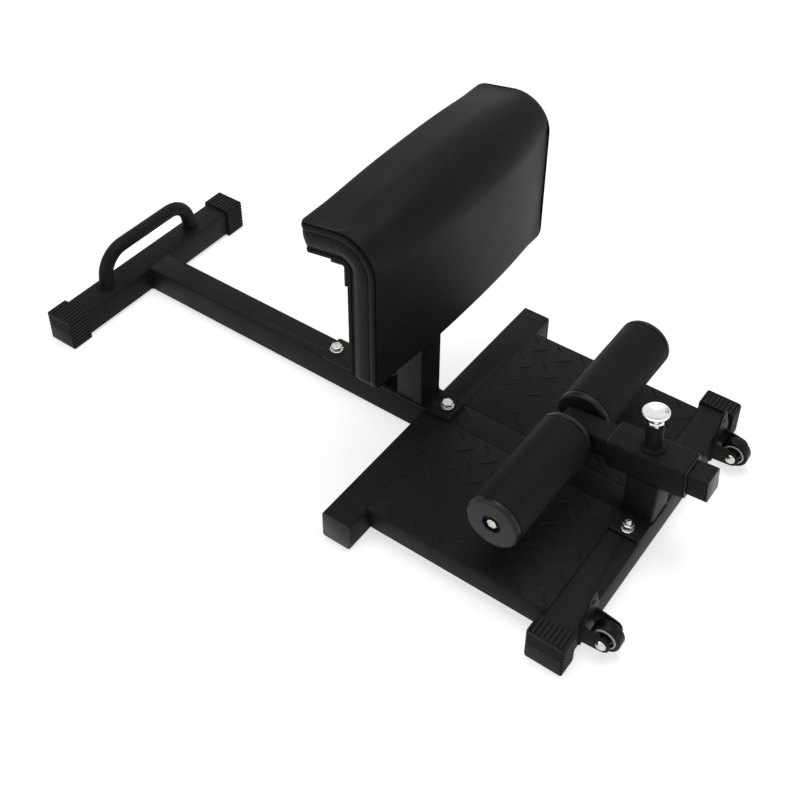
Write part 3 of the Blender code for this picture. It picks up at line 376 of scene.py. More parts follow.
FINISHES = {
    "black_powder_coat": powder_coat,
    "black_vinyl": leatherette,
    "black_foam": roller_foam,
    "black_plastic": moulded_plastic,
    "black_rubber": cap_rubber,
    "black_board": board_cloth,
    "zinc_steel": zinc_plate,
    "chrome": chrome_plate,
    "cream_plastic": ring_plastic,
}


# Shaping

def node_slot(node):
    """The record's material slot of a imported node."""
    return next(part["material_slot"] for part in frame["record"]["subparts"]
                if part["node"] == node)


def keep_piece(bm, name, slot, body="frame", nodes=(), crease=38):
    """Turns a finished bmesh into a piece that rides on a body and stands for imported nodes."""
    mesh = bpy.data.meshes.new(name)
    bm.to_mesh(mesh)
    bm.free()
    mesh.shade_smooth()
    mesh.set_sharp_from_angle(angle=math.radians(crease))
    mesh.materials.append(FINISHES[slot]())
    piece = bpy.data.objects.new(name, mesh)
    bpy.context.scene.collection.objects.link(piece)
    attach(piece, body)
    if nodes:
        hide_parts(*nodes)
    return piece


def only(kind, geometry):
    """The vertices, edges or faces among an operator's results."""
    return [item for item in geometry if isinstance(item, kind)]


def all_of(bm):
    return bm.verts[:] + bm.edges[:] + bm.faces[:]


def upright_edges(bm):
    return [edge for edge in bm.edges if abs(edge.verts[0].co.z - edge.verts[1].co.z) > 1e-6]


def round_edges(bm, edges, width, segments=2):
    bmesh.ops.bevel(bm, geom=edges, offset=width, offset_type="OFFSET", affect="EDGES",
                    segments=segments, profile=0.5, material=-1, clamp_overlap=True)


def soften(bm, width, angle=38):
    """Rounds every edge that is sharper than an angle."""
    sharp = [edge for edge in bm.edges
             if edge.is_manifold and edge.calc_face_angle() > math.radians(angle)]
    if sharp:
        round_edges(bm, sharp, width)


def trim(bm, place, outwards):
    """Cuts away what lies outside a plane."""
    bmesh.ops.bisect_plane(bm, geom=all_of(bm), plane_co=place, plane_no=outwards,
                           clear_outer=True)


def drawn_on(bm, edges, way):
    """Extrudes a ring of edges and moves it on. Gives the new ring's vertices and edges."""
    grown = bmesh.ops.extrude_edge_only(bm, edges=edges)["geom"]
    ring = only(bmesh.types.BMVert, grown)
    bmesh.ops.translate(bm, vec=way, verts=ring)
    ends = set(ring)
    return ring + [edge for edge in only(bmesh.types.BMEdge, grown) if set(edge.verts) <= ends]


def merged_copy(node):
    """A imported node's shape with its loose triangles merged into flat faces."""
    bm = bmesh.new()
    bm.from_mesh(NODES[node].data)
    bmesh.ops.remove_doubles(bm, verts=bm.verts, dist=2e-6)
    bmesh.ops.dissolve_limit(bm, angle_limit=math.radians(0.4), verts=bm.verts, edges=bm.edges,
                             use_dissolve_boundaries=False)
    return bm


def rounded_copy(node, piece, body="frame", width=None, ends=()):
    """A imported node's shape with its cut edges rounded, in its slot's finish.

    ends names the directions in which a welded part runs on into its neighbour.
    """
    bm = merged_copy(node)
    low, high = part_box(node)
    for end in ends:
        way = Vector(end)
        place = high if sum(end) > 0 else low
        met = [vert for vert in bm.verts if abs((vert.co - place).dot(way)) < 1e-4]
        bmesh.ops.translate(bm, vec=way * 5 * GAP, verts=met)
    soften(bm, width or sizes().edge_round)
    return keep_piece(bm, piece, node_slot(node), body, [node])


def dress(*nodes):
    """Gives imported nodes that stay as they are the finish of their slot."""
    for node in nodes:
        NODES[node].data.materials.clear()
        NODES[node].data.materials.append(FINISHES[node_slot(node)]())


def spun(profile, steps, closed=False):
    """Spins a profile of a few (radius, height) points round Z into a closed shape."""
    bm = bmesh.new()
    points = [bm.verts.new((radius, 0, height)) for radius, height in profile]
    edges = [bm.edges.new(pair) for pair in zip(points, points[1:])]
    if closed:
        edges.append(bm.edges.new((points[-1], points[0])))
    bmesh.ops.spin(bm, geom=points + edges, cent=(0, 0, 0), axis=(0, 0, 1), angle=math.tau,
                   steps=steps, use_merge=True)
    bmesh.ops.remove_doubles(bm, verts=bm.verts, dist=1e-6)
    bmesh.ops.recalc_face_normals(bm, faces=bm.faces)
    return bm


def rounded_profile(points, radius, steps):
    """A closed profile whose corners are rounded, for spinning."""
    bm = bmesh.new()
    corners = [bm.verts.new((x, 0, z)) for x, z in points]
    bm.faces.new(corners)
    bmesh.ops.bevel(bm, geom=bm.verts[:], offset=radius, offset_type="OFFSET", affect="VERTICES",
                    segments=steps, profile=0.5, material=-1, clamp_overlap=True)
    bm.faces.ensure_lookup_table()
    loop = [(vert.co.x, vert.co.z) for vert in bm.faces[0].verts]
    bm.free()
    return loop


def set_on(bm, place, direction, spin_from=None):
    """Moves a shape built round Z so that its Z axis runs along a direction from a place."""
    turn = Vector(direction).normalized().to_track_quat("Z", "Y").to_matrix().to_4x4()
    if spin_from is not None:
        turn = turn @ Matrix.Rotation(spin_from, 4, "Z")
    bmesh.ops.transform(bm, matrix=Matrix.Translation(place) @ turn, verts=bm.verts)
    return bm


def absorb(target, other):
    """Adds one bmesh's shape to another's."""
    carrier = bpy.data.meshes.new("carrier")
    other.to_mesh(carrier)
    other.free()
    target.from_mesh(carrier)
    bpy.data.meshes.remove(carrier)


def bead(bm, matrix):
    """One ripple of a weld: a small ball of a few dozen faces."""
    bmesh.ops.create_uvsphere(bm, u_segments=7, v_segments=4, radius=1.0, matrix=matrix)


def weld_line(bm, start, end):
    """A rippled bead of weld along a straight joint."""
    start, end = Vector(start), Vector(end)
    span = end - start
    count = max(2, round(span.length / sizes().weld_pitch))
    turn = span.normalized().to_track_quat("X", "Z").to_matrix().to_4x4()
    run = bmesh.new()
    for i in range(count + 1):
        place = start + span * i / count
        radius = sizes().weld_size * (1 + WELD_WANDER * noise.noise(place * 310))
        shape = Matrix.Diagonal((radius * 0.85, radius, radius, 1))
        bead(run, Matrix.Translation(place) @ turn @ shape)
    absorb(bm, run)


def weld_across(bm, x, half, z, short=WELD_SHORT):
    """A bead along Y that stops short of the joint's two ends."""
    weld_line(bm, (x, short - half, z), (x, half - short, z))


def weld_round_foot(bm, low, high, z):
    """Beads along the four sides of a square post's foot."""
    for x in (low.x, high.x):
        weld_across(bm, x, TUBE_HALF, z)
    for y in (-TUBE_HALF, TUBE_HALF):
        weld_line(bm, (low.x + WELD_SHORT, y, z), (high.x - WELD_SHORT, y, z))


def weld_ring(bm, centre, radius, turn=None):
    """A rippled bead of weld round a tube."""
    count = max(12, round(math.tau * radius / sizes().weld_pitch))
    turn = turn or Matrix.Identity(4)
    run = bmesh.new()
    for i in range(count):
        size = sizes().weld_size * (1 + WELD_WANDER * math.sin(i * 2.4))
        place = Matrix.Translation(centre) @ turn @ Matrix.Rotation(math.tau * i / count, 4, "Z")
        shape = Matrix.Translation((radius, 0, 0)) @ Matrix.Diagonal((size, size * 0.85, size, 1))
        bead(run, place @ shape)
    absorb(bm, run)


def hex_prism(across_flats, low, high, chamfer, dish=0.0):
    """A hexagon block with chamfered ends, standing on the Z axis. Its top may be dished."""
    bm = bmesh.new()
    bmesh.ops.create_cone(bm, cap_ends=True, segments=6, radius1=across_flats / math.sqrt(3),
                          radius2=across_flats / math.sqrt(3), depth=high - low,
                          matrix=Matrix.Translation((0, 0, (low + high) / 2)))
    round_edges(bm, upright_edges(bm), chamfer * 0.5)
    soften(bm, chamfer, 60)
    if dish:
        top = max(bm.faces, key=lambda face: face.calc_center_median().z)
        for inset in (0.0004, dish):
            bmesh.ops.inset_region(bm, faces=[top], thickness=inset, depth=0)
        bmesh.ops.translate(bm, vec=(0, 0, -dish), verts=top.verts)
    return bm


def washer(outer, inner, low, high):
    """A flat washer with rolled edges."""
    loop = rounded_profile([(inner, low), (outer, low), (outer, high), (inner, high)],
                           (high - low) * 0.3, 2)
    return spun(loop, 40, closed=True)


def threaded_rod(radius, low, high, pitch=0.00125):
    """A round shank with thread ridges and a chamfered tip at its lower end."""
    depth = pitch * 0.5
    profile = [(0, low), (radius - 2 * depth, low), (radius - depth, low + depth)]
    turns = int((high - low - 2 * depth) / pitch)
    for i in range(turns):
        foot = low + depth + i * pitch
        profile += [(radius - depth, foot + pitch * 0.1), (radius, foot + pitch * 0.5),
                    (radius - depth, foot + pitch * 0.9)]
    profile += [(radius - depth, high), (0, high)]
    return spun(profile, 20)


# Frame steel

class SQUAT_OT_frame_steel(bpy.types.Operator):
    """Gives the welded steel its softened edges and powder coat"""

    bl_idname = "squat.frame_steel"
    bl_label = "Frame Steel"

    def execute(self, context):
        for node in ("rear_crossbar", "inner_crossbar", "outer_crossbar", "upright_base_plate",
                     "upright_brace", "roller_flange", "roller_sleeve", "pad_mount",
                     "wheel_bracket_left", "wheel_bracket_right"):
            rounded_copy(node, node + "_steel")
        rounded_copy("slide_tube", "slide_tube_steel", "roller_carriage")
        for node in ("main_beam", "centre_tube"):
            rounded_copy(node, node + "_steel", ends=((1, 0, 0), (-1, 0, 0)))
        for node in ("upright_post", "roller_post"):
            rounded_copy(node, node + "_steel", ends=((0, 0, -1),))
        for side, sign in SIDES:
            node = "tread_plate_" + side
            rounded_copy(node, node + "_steel", ends=((1, 0, 0), (-1, 0, 0), (0, -sign, 0)))
        return {"FINISHED"}


class SQUAT_OT_weld_beads(bpy.types.Operator):
    """Runs weld beads along the joints of the steel"""

    bl_idname = "squat.weld_beads"
    bl_label = "Weld Beads"

    def execute(self, context):
        for name, bm in (("deck_weld_beads", self.deck()), ("upright_weld_beads", self.upright()),
                         ("roller_support_weld_beads", self.roller_support())):
            keep_piece(bm, name, "black_powder_coat")
        return {"FINISHED"}

    def deck(self):
        """Beads of the beam, the centre tube and the wheel brackets."""
        bm = bmesh.new()
        low, high = BEAM_LOW.z, BEAM_HIGH.z
        for x, foot, head in ((REAR_BAR_HIGH.x, 0.003, 0.003), (INNER_BAR_LOW.x, 0.003, 0.003),
                              (INNER_BAR_HIGH.x, 0.004, 0.005), (OUTER_BAR_LOW.x, 0.004, 0.005)):
            weld_across(bm, x, TUBE_HALF, low, 0.004)
            for y in (-TUBE_HALF, TUBE_HALF):
                weld_line(bm, (x, y, low + foot), (x, y, high - head))
        x = OUTER_BAR_HIGH.x + GAP
        for side, _ in SIDES:
            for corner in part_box("wheel_bracket_" + side):
                weld_line(bm, (x, corner.y, 0.014), (x, corner.y, DECK_Z - 0.006))
        return bm

    def upright(self):
        """Beads of the post, its brace and the pad's mount."""
        bm = bmesh.new()
        foot = PLATE_TOP + GAP
        weld_round_foot(bm, POST_LOW, POST_HIGH, foot)
        half = BRACE_HIGH.y
        cut = 2 * half * math.sqrt(2)
        toe, top = BRACE_LOW.x + cut, BRACE_HIGH.z
        for x, z in ((BRACE_LOW.x, foot), (toe, foot), (POST_LOW.x, top - cut), (POST_LOW.x, top)):
            weld_across(bm, x, half, z)
        for y in (-half, half):
            weld_line(bm, (BRACE_LOW.x + WELD_SHORT, y, foot), (toe - WELD_SHORT, y, foot))
            weld_line(bm, (POST_LOW.x, y, top - cut + WELD_SHORT),
                      (POST_LOW.x, y, top - WELD_SHORT))
        for y in (-TUBE_HALF, TUBE_HALF):
            weld_line(bm, (POST_HIGH.x, y, POST_HIGH.z - 0.110),
                      (POST_HIGH.x, y, POST_HIGH.z - 0.004))
        return bm

    def roller_support(self):
        """Beads of the roller post, on its flange and under the sleeve."""
        bm = bmesh.new()
        low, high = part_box("roller_post")
        weld_round_foot(bm, low, high, FLANGE_TOP + GAP)
        under = PIVOT - PIN_UP * TUBE_HALF
        for x in (low.x, high.x):
            weld_across(bm, x, TUBE_HALF, under.z + (x - under.x) * SLIDE.z / SLIDE.x)
        reach = SLIDE * (TUBE_HALF - WELD_SHORT)
        for y in (-TUBE_HALF, TUBE_HALF):
            aside = Vector((0, y, 0))
            weld_line(bm, under - reach + aside, under + reach + aside)
        return bm


class SQUAT_OT_carry_handle(bpy.types.Operator):
    """Bends the round carry handle and welds its feet"""

    bl_idname = "squat.carry_handle"
    bl_label = "Carry Handle"

    def execute(self, context):
        size = sizes()
        radius = size.handle_tube / 2
        low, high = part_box("carry_handle")
        lean = size.handle_lean
        bend_z = high.z - radius - size.handle_bend
        leg = bend_z + size.handle_bend * math.sin(lean) - low.z
        foot_y = high.y - radius / math.cos(lean)
        bend_y = foot_y - leg * math.tan(lean) - size.handle_bend * math.cos(lean)

        bm = bmesh.new()
        bmesh.ops.create_circle(bm, cap_ends=False, radius=radius, segments=32,
                                matrix=Matrix.Translation((REAR_X, 0, high.z - radius))
                                @ Matrix.Rotation(math.pi / 2, 4, "X"))
        ring = drawn_on(bm, bm.edges[:], (0, bend_y, 0))
        ring = bmesh.ops.spin(bm, geom=ring, cent=(REAR_X, bend_y, bend_z), axis=(-1, 0, 0),
                              angle=math.pi / 2 - lean, steps=14)["geom_last"]
        run = leg / math.cos(lean) + radius
        drawn_on(bm, only(bmesh.types.BMEdge, ring),
                 (0, math.sin(lean) * run, -math.cos(lean) * run))
        trim(bm, (0, 0, low.z), (0, 0, -1))
        bmesh.ops.mirror(bm, geom=all_of(bm), merge_dist=1e-5, axis="Y")
        bmesh.ops.holes_fill(bm, edges=bm.edges[:], sides=0)
        bmesh.ops.remove_doubles(bm, verts=bm.verts, dist=1e-6)
        bmesh.ops.recalc_face_normals(bm, faces=bm.faces)
        keep_piece(bm, "carry_handle_tube", "black_powder_coat", nodes=["carry_handle"])

        beads = bmesh.new()
        for _, sign in SIDES:
            weld_ring(beads, Vector((REAR_X, sign * foot_y, low.z)), radius + 0.0004)
        keep_piece(beads, "carry_handle_weld_beads", "black_powder_coat")
        return {"FINISHED"}


class SQUAT_OT_tread_marks(bpy.types.Operator):
    """Raises the crossing marks on both tread plates"""

    bl_idname = "squat.tread_marks"
    bl_label = "Tread Marks"

    def execute(self, context):
        size = sizes()
        pitch_x, pitch_y = size.mark_pitch
        shape = Matrix.Diagonal((size.mark_length / 2, size.mark_width / 2, size.mark_height, 1))
        first = {"left": (0.1505, -0.0553), "right": (0.1723, 0.0577)}
        # The marks stop where the plate bends down, and root a little way inside it
        bend, root = Vector((0, 0.004, 0)), Vector((0, 0, 0.0004))
        for side, sign in SIDES:
            low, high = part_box("tread_plate_" + side)
            first_x, first_y = first[side]
            bm = bmesh.new()
            for turn, shift in ((math.pi / 4, 0), (-math.pi / 4, 0.5)):
                turned = Matrix.Rotation(turn, 4, "Z")
                for column in range(-1, 8):
                    line = bmesh.new()
                    for row in range(-1, 5):
                        place = (first_x + (column + shift) * pitch_x,
                                 first_y + sign * (row + shift) * pitch_y, high.z)
                        bmesh.ops.create_uvsphere(
                            line, u_segments=14, v_segments=6, radius=1.0,
                            matrix=Matrix.Translation(place) @ turned @ shape)
                    absorb(bm, line)
            for place, outwards in ((low, (-1, 0, 0)), (high, (1, 0, 0)), (low + bend, (0, -1, 0)),
                                    (high - bend, (0, 1, 0)), (high - root, (0, 0, -1))):
                trim(bm, place, outwards)
            bmesh.ops.holes_fill(bm, edges=bm.edges[:], sides=0)
            bmesh.ops.recalc_face_normals(bm, faces=bm.faces)
            keep_piece(bm, "tread_marks_" + side, "black_powder_coat")
        return {"FINISHED"}


class SQUAT_OT_end_caps(bpy.types.Operator):
    """Finishes the ribbed rubber caps and the tubes' plugs"""

    bl_idname = "squat.end_caps"
    bl_label = "End Caps"

    def execute(self, context):
        for bar in ("rear", "outer"):
            for side, sign in SIDES:
                node = f"{bar}_cap_{side}"
                low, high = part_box(node)
                bm = merged_copy(node)
                middle = (low + high) / 2
                half = (high.z - low.z) / 2
                self.deepen(bm, middle, half)
                ribs = [edge for edge in bm.edges if edge.is_manifold and edge.is_convex
                        and abs(edge.verts[0].co.y - edge.verts[1].co.y) > 0.01
                        and edge.calc_face_angle() > math.radians(38)]
                round_edges(bm, ribs, 0.0011, segments=3)
                self.rib_face(bm, Vector((middle.x, high.y if sign > 0 else low.y, high.z)),
                              sign, half)
                keep_piece(bm, node + "_rubber", "black_rubber", nodes=[node])
        for side, _ in SIDES:
            node = "inner_plug_" + side
            rounded_copy(node, node + "_plastic", width=0.0005)
        rounded_copy("slide_plug", "slide_plug_plastic", "roller_carriage", width=0.0005)
        for end in ("front", "rear"):
            rounded_copy("sleeve_bushing_" + end, "sleeve_guide_" + end, width=0.0009)
        return {"FINISHED"}

    def deepen(self, bm, middle, half):
        """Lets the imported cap's shallow grooves, about 1 mm deep, down to their full depth."""
        floor = half - sizes().rib_depth
        for vert in bm.verts:
            across = vert.co - middle
            for axis, other in ((0, 2), (2, 0)):
                if (half - 0.0016 < abs(across[axis]) < half - 0.0006
                        and abs(across[other]) < half - 0.0032):
                    vert.co[axis] = middle[axis] + math.copysign(floor, across[axis])

    def rib_face(self, bm, top, sign, half):
        """Sinks a cap's end face and lays a rim, four ribs and a broad foot on it.

        top is the middle of the face's upper edge.
        """
        sunk = 0.0016
        bmesh.ops.translate(bm, vec=(0, -sign * sunk, 0),
                            verts=[vert for vert in bm.verts if abs(vert.co.y - top.y) < 1e-4])
        foot = 0.0252
        strips = [(0.0010, 0.0044)] + [(0.0063 + 0.0047 * i, 0.0030) for i in range(4)]
        for drop, height in strips + [(foot, 2 * half - foot - 0.0022)]:
            strip = bmesh.new()
            place = top - Vector((0, sign * sunk / 2, drop + height / 2))
            bmesh.ops.create_cube(strip, size=1.0, matrix=Matrix.Translation(place)
                                  @ Matrix.Diagonal((2 * half - 0.0056, sunk, height, 1)))
            soften(strip, 0.0004)
            absorb(bm, strip)


class SQUAT_OT_frame_bolts(bpy.types.Operator):
    """Makes the zinc bolts, washers and nuts of the base plate and the roller flange"""

    bl_idname = "squat.frame_bolts"
    bl_label = "Frame Bolts"

    def execute(self, context):
        for turn, end in enumerate(("rear", "front")):
            low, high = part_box("base_bolt_" + end)
            seat = PLATE_TOP + GAP
            head_low = seat + 0.002
            bm = washer((high.x - low.x) / 2, 0.0052, seat, head_low)
            absorb(bm, hex_prism(0.0165, head_low, high.z, 0.0009, 0.0004))
            absorb(bm, threaded_rod(0.005, low.z, head_low, 0.0015))
            set_on(bm, ((low.x + high.x) / 2, 0, 0), (0, 0, 1), 0.35 + turn)
            keep_piece(bm, "base_bolt_zinc_" + end, "zinc_steel", nodes=["base_bolt_" + end])
            dress("base_nut_" + end)
        for side, sign in SIDES:
            low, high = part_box("flange_bolt_" + side)
            centre = Vector(((low.x + high.x) / 2, (low.y + high.y) / 2, 0))
            bm = self.flange_bolt(low.z, high.z)
            set_on(bm, centre, (0, 0, 1))
            keep_piece(bm, "flange_bolt_zinc_" + side, "zinc_steel",
                       nodes=["flange_bolt_" + side])
            nut_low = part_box("flange_nut_" + side)[0].z
            nut_top = nut_low + 0.62 * (high.z - nut_low)
            washer_top = nut_low + 0.0016
            bm = washer(0.0100, M8_BORE, nut_low, washer_top)
            absorb(bm, hex_prism(0.0155, washer_top, nut_top, 0.0009))
            set_on(bm, centre, (0, 0, 1), 0.2 * sign)
            keep_piece(bm, "flange_nut_zinc_" + side, "zinc_steel", nodes=["flange_nut_" + side])
        return {"FINISHED"}

    def flange_bolt(self, low, high):
        """A bolt that stands upright on its domed head, with its thread at the upper end."""
        shank_top = DECK_Z - 0.010
        bm = threaded_rod(0.004, -high, -shank_top)
        bmesh.ops.rotate(bm, cent=(0, 0, 0), matrix=Matrix.Rotation(math.pi, 3, "X"),
                         verts=bm.verts)
        seat = OUTER_BAR_LOW.z - GAP
        absorb(bm, spun([(0, low), (0.0035, low + 0.0003), (0.0070, low + 0.0014),
                         (0.0090, low + 0.0028), (0.0095, seat), (0.0039, seat),
                         (0.0039, shank_top), (0, shank_top)], 40))
        return bm


class SQUAT_OT_foot_rollers(bpy.types.Operator):
    """Makes the foam rollers with their end discs and screws"""

    bl_idname = "squat.foot_rollers"
    bl_label = "Foot Rollers"

    def execute(self, context):
        dress("roller_axle")
        centre = Vector((ROLLER_CENTRE.x, 0, ROLLER_CENTRE.z))
        for side, sign in SIDES:
            outwards = (0, sign, 0)
            low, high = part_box("roller_foam_" + side)
            radius = (high.z - low.z) / 2
            bm = set_on(self.foam(*self.span(low, high), radius, sign), centre, outwards)
            bmesh.ops.recalc_face_normals(bm, faces=bm.faces)
            foam = keep_piece(bm, "foot_roller_foam_" + side, "black_foam", "roller_" + side,
                              ["roller_foam_" + side])

            for place in ("inner", "outer"):
                node = f"roller_cap_{place}_{side}"
                bm = spun(self.disc(place, *self.span(*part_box(node)), radius), 72, closed=True)
                keep_piece(set_on(bm, centre, outwards), f"roller_disc_{place}_{side}",
                           "black_plastic", "roller_" + side, [node], crease=30)

            seat = self.span(*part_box("roller_screw_" + side))[1] - 0.004
            head_low = seat + 0.0011
            bm = hex_prism(0.0140, head_low, seat + 0.0048, 0.0010, 0.0006)
            absorb(bm, threaded_rod(0.004, seat - 0.0175, head_low))
            set_on(bm, centre, outwards, 0.4)
            keep_piece(bm, "roller_screw_zinc_" + side, "zinc_steel", "roller_carriage",
                       ["roller_screw_" + side])
            keep_piece(set_on(washer(0.0110, M8_BORE, seat, head_low), centre, outwards),
                       "roller_washer_black_" + side, "black_powder_coat", "roller_carriage")
        return {"FINISHED"}

    def span(self, low, high):
        """How far from the middle a box begins and ends, to either side."""
        return sorted((abs(low.y), abs(high.y)))

    def foam(self, start, end, radius, sign):
        """A tube of foam with rounded shoulders, a little uneven all over."""
        shoulder = sizes().foam_shoulder
        bore = 0.0148
        rise = [(radius - shoulder * (1 - math.sin(turn)), shoulder * (1 - math.cos(turn)))
                for turn in [math.pi / 2 * i / 6 for i in range(7)]]
        length = end - start - 2 * shoulder
        outline = [(bore, start)] + [(out, start + along) for out, along in rise]
        outline += [(radius, start + shoulder + length * i / 24) for i in range(1, 24)]
        outline += [(out, end - along) for out, along in reversed(rise)] + [(bore, end)]
        bm = spun(outline, 72, closed=True)
        for vert in bm.verts:
            reach = Vector((vert.co.x, vert.co.y, 0))
            if reach.length > radius * 0.9:
                swell = 0.00035 * noise.noise(vert.co * 26 + Vector((0, 0, 7 * sign)))
                vert.co += reach.normalized() * (swell - 0.0002)
        return bm

    def disc(self, place, near, far, radius):
        """The outline of an end disc with its boss. An outer disc has a well for the screw."""
        if place == "outer":
            face, boss_end, step = far, near, -1
        else:
            face, boss_end, step = near, far, 1
        back = face + step * 0.009
        rim = 0.0055
        bore, boss, well = 0.0084, 0.0145, 0.0140
        profile = [(bore, boss_end), (boss, boss_end), (boss, back), (radius - 0.0012, back),
                   (radius, back - step * 0.0008)]
        profile += [(radius - rim * (1 - math.cos(turn)), face + step * rim * (1 - math.sin(turn)))
                    for turn in [math.pi / 2 * i / 8 for i in range(9)]]
        if place == "outer":
            return profile + [(0.0150, face), (well, face - 0.0010), (well, face - 0.006),
                              (bore, face - 0.006)]
        return profile + [(0.0150, face), (bore, face)]


class SQUAT_OT_pull_pin(bpy.types.Operator):
    """Makes the pull pin with its chromed knob, nut and welded barrel"""

    bl_idname = "squat.pull_pin"
    bl_label = "Pull Pin"

    def execute(self, context):
        foot = TUBE_HALF + GAP
        barrel_top = foot + 0.043
        nut_low = barrel_top + GAP
        nut_top = nut_low + 0.0085
        knob_low = nut_top + GAP

        bm = self.barrel(foot, barrel_top)
        set_on(bm, PIVOT, PIN_UP)
        weld_ring(bm, PIVOT + PIN_UP * (foot + 0.0004), 0.0162,
                  PIN_UP.to_track_quat("Z", "Y").to_matrix().to_4x4())
        keep_piece(bm, "pin_barrel_steel", "black_powder_coat", nodes=["pin_barrel"])

        bm = set_on(hex_prism(0.021, nut_low, nut_top, 0.0010), PIVOT, PIN_UP, 0.25)
        keep_piece(bm, "pin_nut_chrome", "chrome", "pull_pin", ["pin_nut"])

        bm = set_on(self.knob(knob_low), PIVOT, PIN_UP)
        keep_piece(bm, "pull_knob_chrome", "chrome", "pull_pin", ["pin_knob"], crease=45)

        tip, top = 0.0193, knob_low + 0.0072
        bm = spun([(0, tip), (0.0040, tip), (0.0050, tip + 0.0010), (0.0050, top), (0, top)], 32)
        keep_piece(set_on(bm, PIVOT, PIN_UP), "pull_pin_zinc", "zinc_steel", "pull_pin",
                   ["pull_pin"])
        return {"FINISHED"}

    def barrel(self, foot, top):
        """The pin's barrel and the fillet round its foot."""
        bore, outer = 0.0054, 0.013
        bm = spun(rounded_profile([(bore, foot), (outer, foot), (outer, top), (bore, top)],
                                  0.0010, 3), 48, closed=True)
        absorb(bm, spun([(0.0125, foot + 0.0001), (0.0175, foot + 0.0001),
                         (0.0166, foot + 0.0016), (0.0148, foot + 0.0034),
                         (0.0134, foot + 0.0050), (0.0125, foot + 0.0050)], 48, closed=True))
        return bm

    def knob(self, low):
        """The knob: a stem that flares to a wide, rolled rim round a shallow dish."""
        top = low + 0.015
        rim, stem, bore = 0.0195, 0.0115, 0.0053
        profile = [(bore, low), (stem - 0.0008, low), (stem, low + 0.0008)]
        for turn in [math.pi / 2 * i / 12 for i in range(13)]:
            profile.append((stem + (rim - stem) * (1 - math.cos(turn)),
                            low + 0.002 + 0.0105 * math.sin(turn)))
        profile += [(rim + 0.0001, top - 0.0014), (rim - 0.0003, top - 0.0005),
                    (rim - 0.0012, top), (rim - 0.0021, top - 0.0001),
                    (rim - 0.0027, top - 0.0007), (0, top - 0.0011), (0, low + 0.0075),
                    (bore, low + 0.0075)]
        return spun(profile, 64, closed=True)


class SQUAT_OT_transport_wheels(bpy.types.Operator):
    """Makes the wheels with their tyres, cream rings and riveted axles"""

    bl_idname = "squat.transport_wheels"
    bl_label = "Transport Wheels"

    def execute(self, context):
        half = 0.009
        tyre = self.bar(0.0170, 0.0225, half, 0.0028, 5)
        ring = self.bar(0.0143, 0.0168, half + 0.0004, 0.0007, 3)
        boss = 0.0167
        hub = self.doubled([(0.0044, -boss), (0.0076, -boss), (0.0080, -boss + 0.0004),
                            (0.0080, -0.0064), (0.0086, -0.0056), (0.0128, -0.0056),
                            (0.0144, -0.0072)])
        grip = 0.0203
        rivet = self.doubled([(0, -grip - 0.004), (0.0032, -grip - 0.0038),
                              (0.0060, -grip - 0.0028), (0.0079, -grip - 0.0012),
                              (0.0084, -grip), (0.004, -grip)])
        for side, sign in SIDES:
            centre = Vector(JOINTS["wheel_turn_" + side]["pos_m"])
            wheel, outwards = "wheel_" + side, (0, sign, 0)
            tread = keep_piece(set_on(spun(tyre, 64, closed=True), centre, outwards),
                               "wheel_tyre_rubber_" + side, "black_rubber", wheel,
                               ["wheel_tyre_" + side])
            tread.data.materials[0] = tyre_rubber()
            keep_piece(set_on(spun(ring, 64, closed=True), centre, outwards),
                       "wheel_ring_cream_" + side, "cream_plastic", wheel,
                       ["wheel_hub_" + side], crease=50)
            keep_piece(set_on(spun(hub, 64, closed=True), centre, outwards),
                       "wheel_hub_black_" + side, "black_plastic", wheel, crease=30)
            keep_piece(set_on(spun(rivet, 40), centre, outwards), "wheel_axle_zinc_" + side,
                       "zinc_steel", "frame", ["wheel_axle_" + side])
        return {"FINISHED"}

    def bar(self, inner, outer, half, radius, steps):
        """The rounded cross-section of a ring round the axle."""
        return rounded_profile([(inner, -half), (outer, -half), (outer, half), (inner, half)],
                               radius, steps)

    def doubled(self, profile):
        """Half an outline with its mirror image."""
        return profile + [(radius, -height) for radius, height in reversed(profile)]


# Calf pad: shaped flat, then bent round one corner

PAD_CORNER = Vector((POST_HIGH.x - 0.0007, 0, 0.4673))
PAD_TURN = math.radians(100)
PAD_BACK_LEG = PAD_CORNER.z - BOARD_LOW.z
PAD_TOP_LEG = 0.060
PAD_ARC = 0.110
PAD_LENGTH = PAD_BACK_LEG + PAD_ARC + PAD_TOP_LEG
# Where the board's faces, the cover's back edge and its main seam lie, from the corner's centre
BOARD_NEAR = 0.0073
BOARD_FAR = 0.0203
COVER_NEAR = 0.0206
SEAM_FAR = 0.0546
# The cover's half width, the rounding of its rim, how far it is tucked in under the seam and
# how flat its crown is in the middle
COVER_HALF = 0.216
COVER_ROLL = 0.010
COVER_TUCK = 0.0042
CROWN_CURVE = 2.6
# How far wrinkles reach from the cover's edge
WRINKLE_REACH = 0.018
SWELL_STEPS = 20
EVEN_ROUNDS = 40
# How many stitches are gathered before they join the rest, which is faster
STITCH_RUN = 40


def bend_pad(bm):
    """Bends a flat pad shape. X is the way along it and Z the distance from the corner's centre."""
    for vert in bm.verts:
        way, depth = vert.co.x, vert.co.z
        turn = min(max((way - PAD_BACK_LEG) / PAD_ARC, 0), 1) * PAD_TURN
        past = way - PAD_BACK_LEG if turn == 0 else max(way - PAD_BACK_LEG - PAD_ARC, 0)
        out = Vector((math.cos(turn), 0, math.sin(turn)))
        along = Vector((-math.sin(turn), 0, math.cos(turn)))
        y = vert.co.y
        vert.co = PAD_CORNER + out * depth + along * past
        vert.co.y = y


def in_bend(way, past=0.01):
    """Whether a place along the pad lies in its bend or just beside it."""
    return PAD_BACK_LEG - past < way < PAD_BACK_LEG + PAD_ARC + past


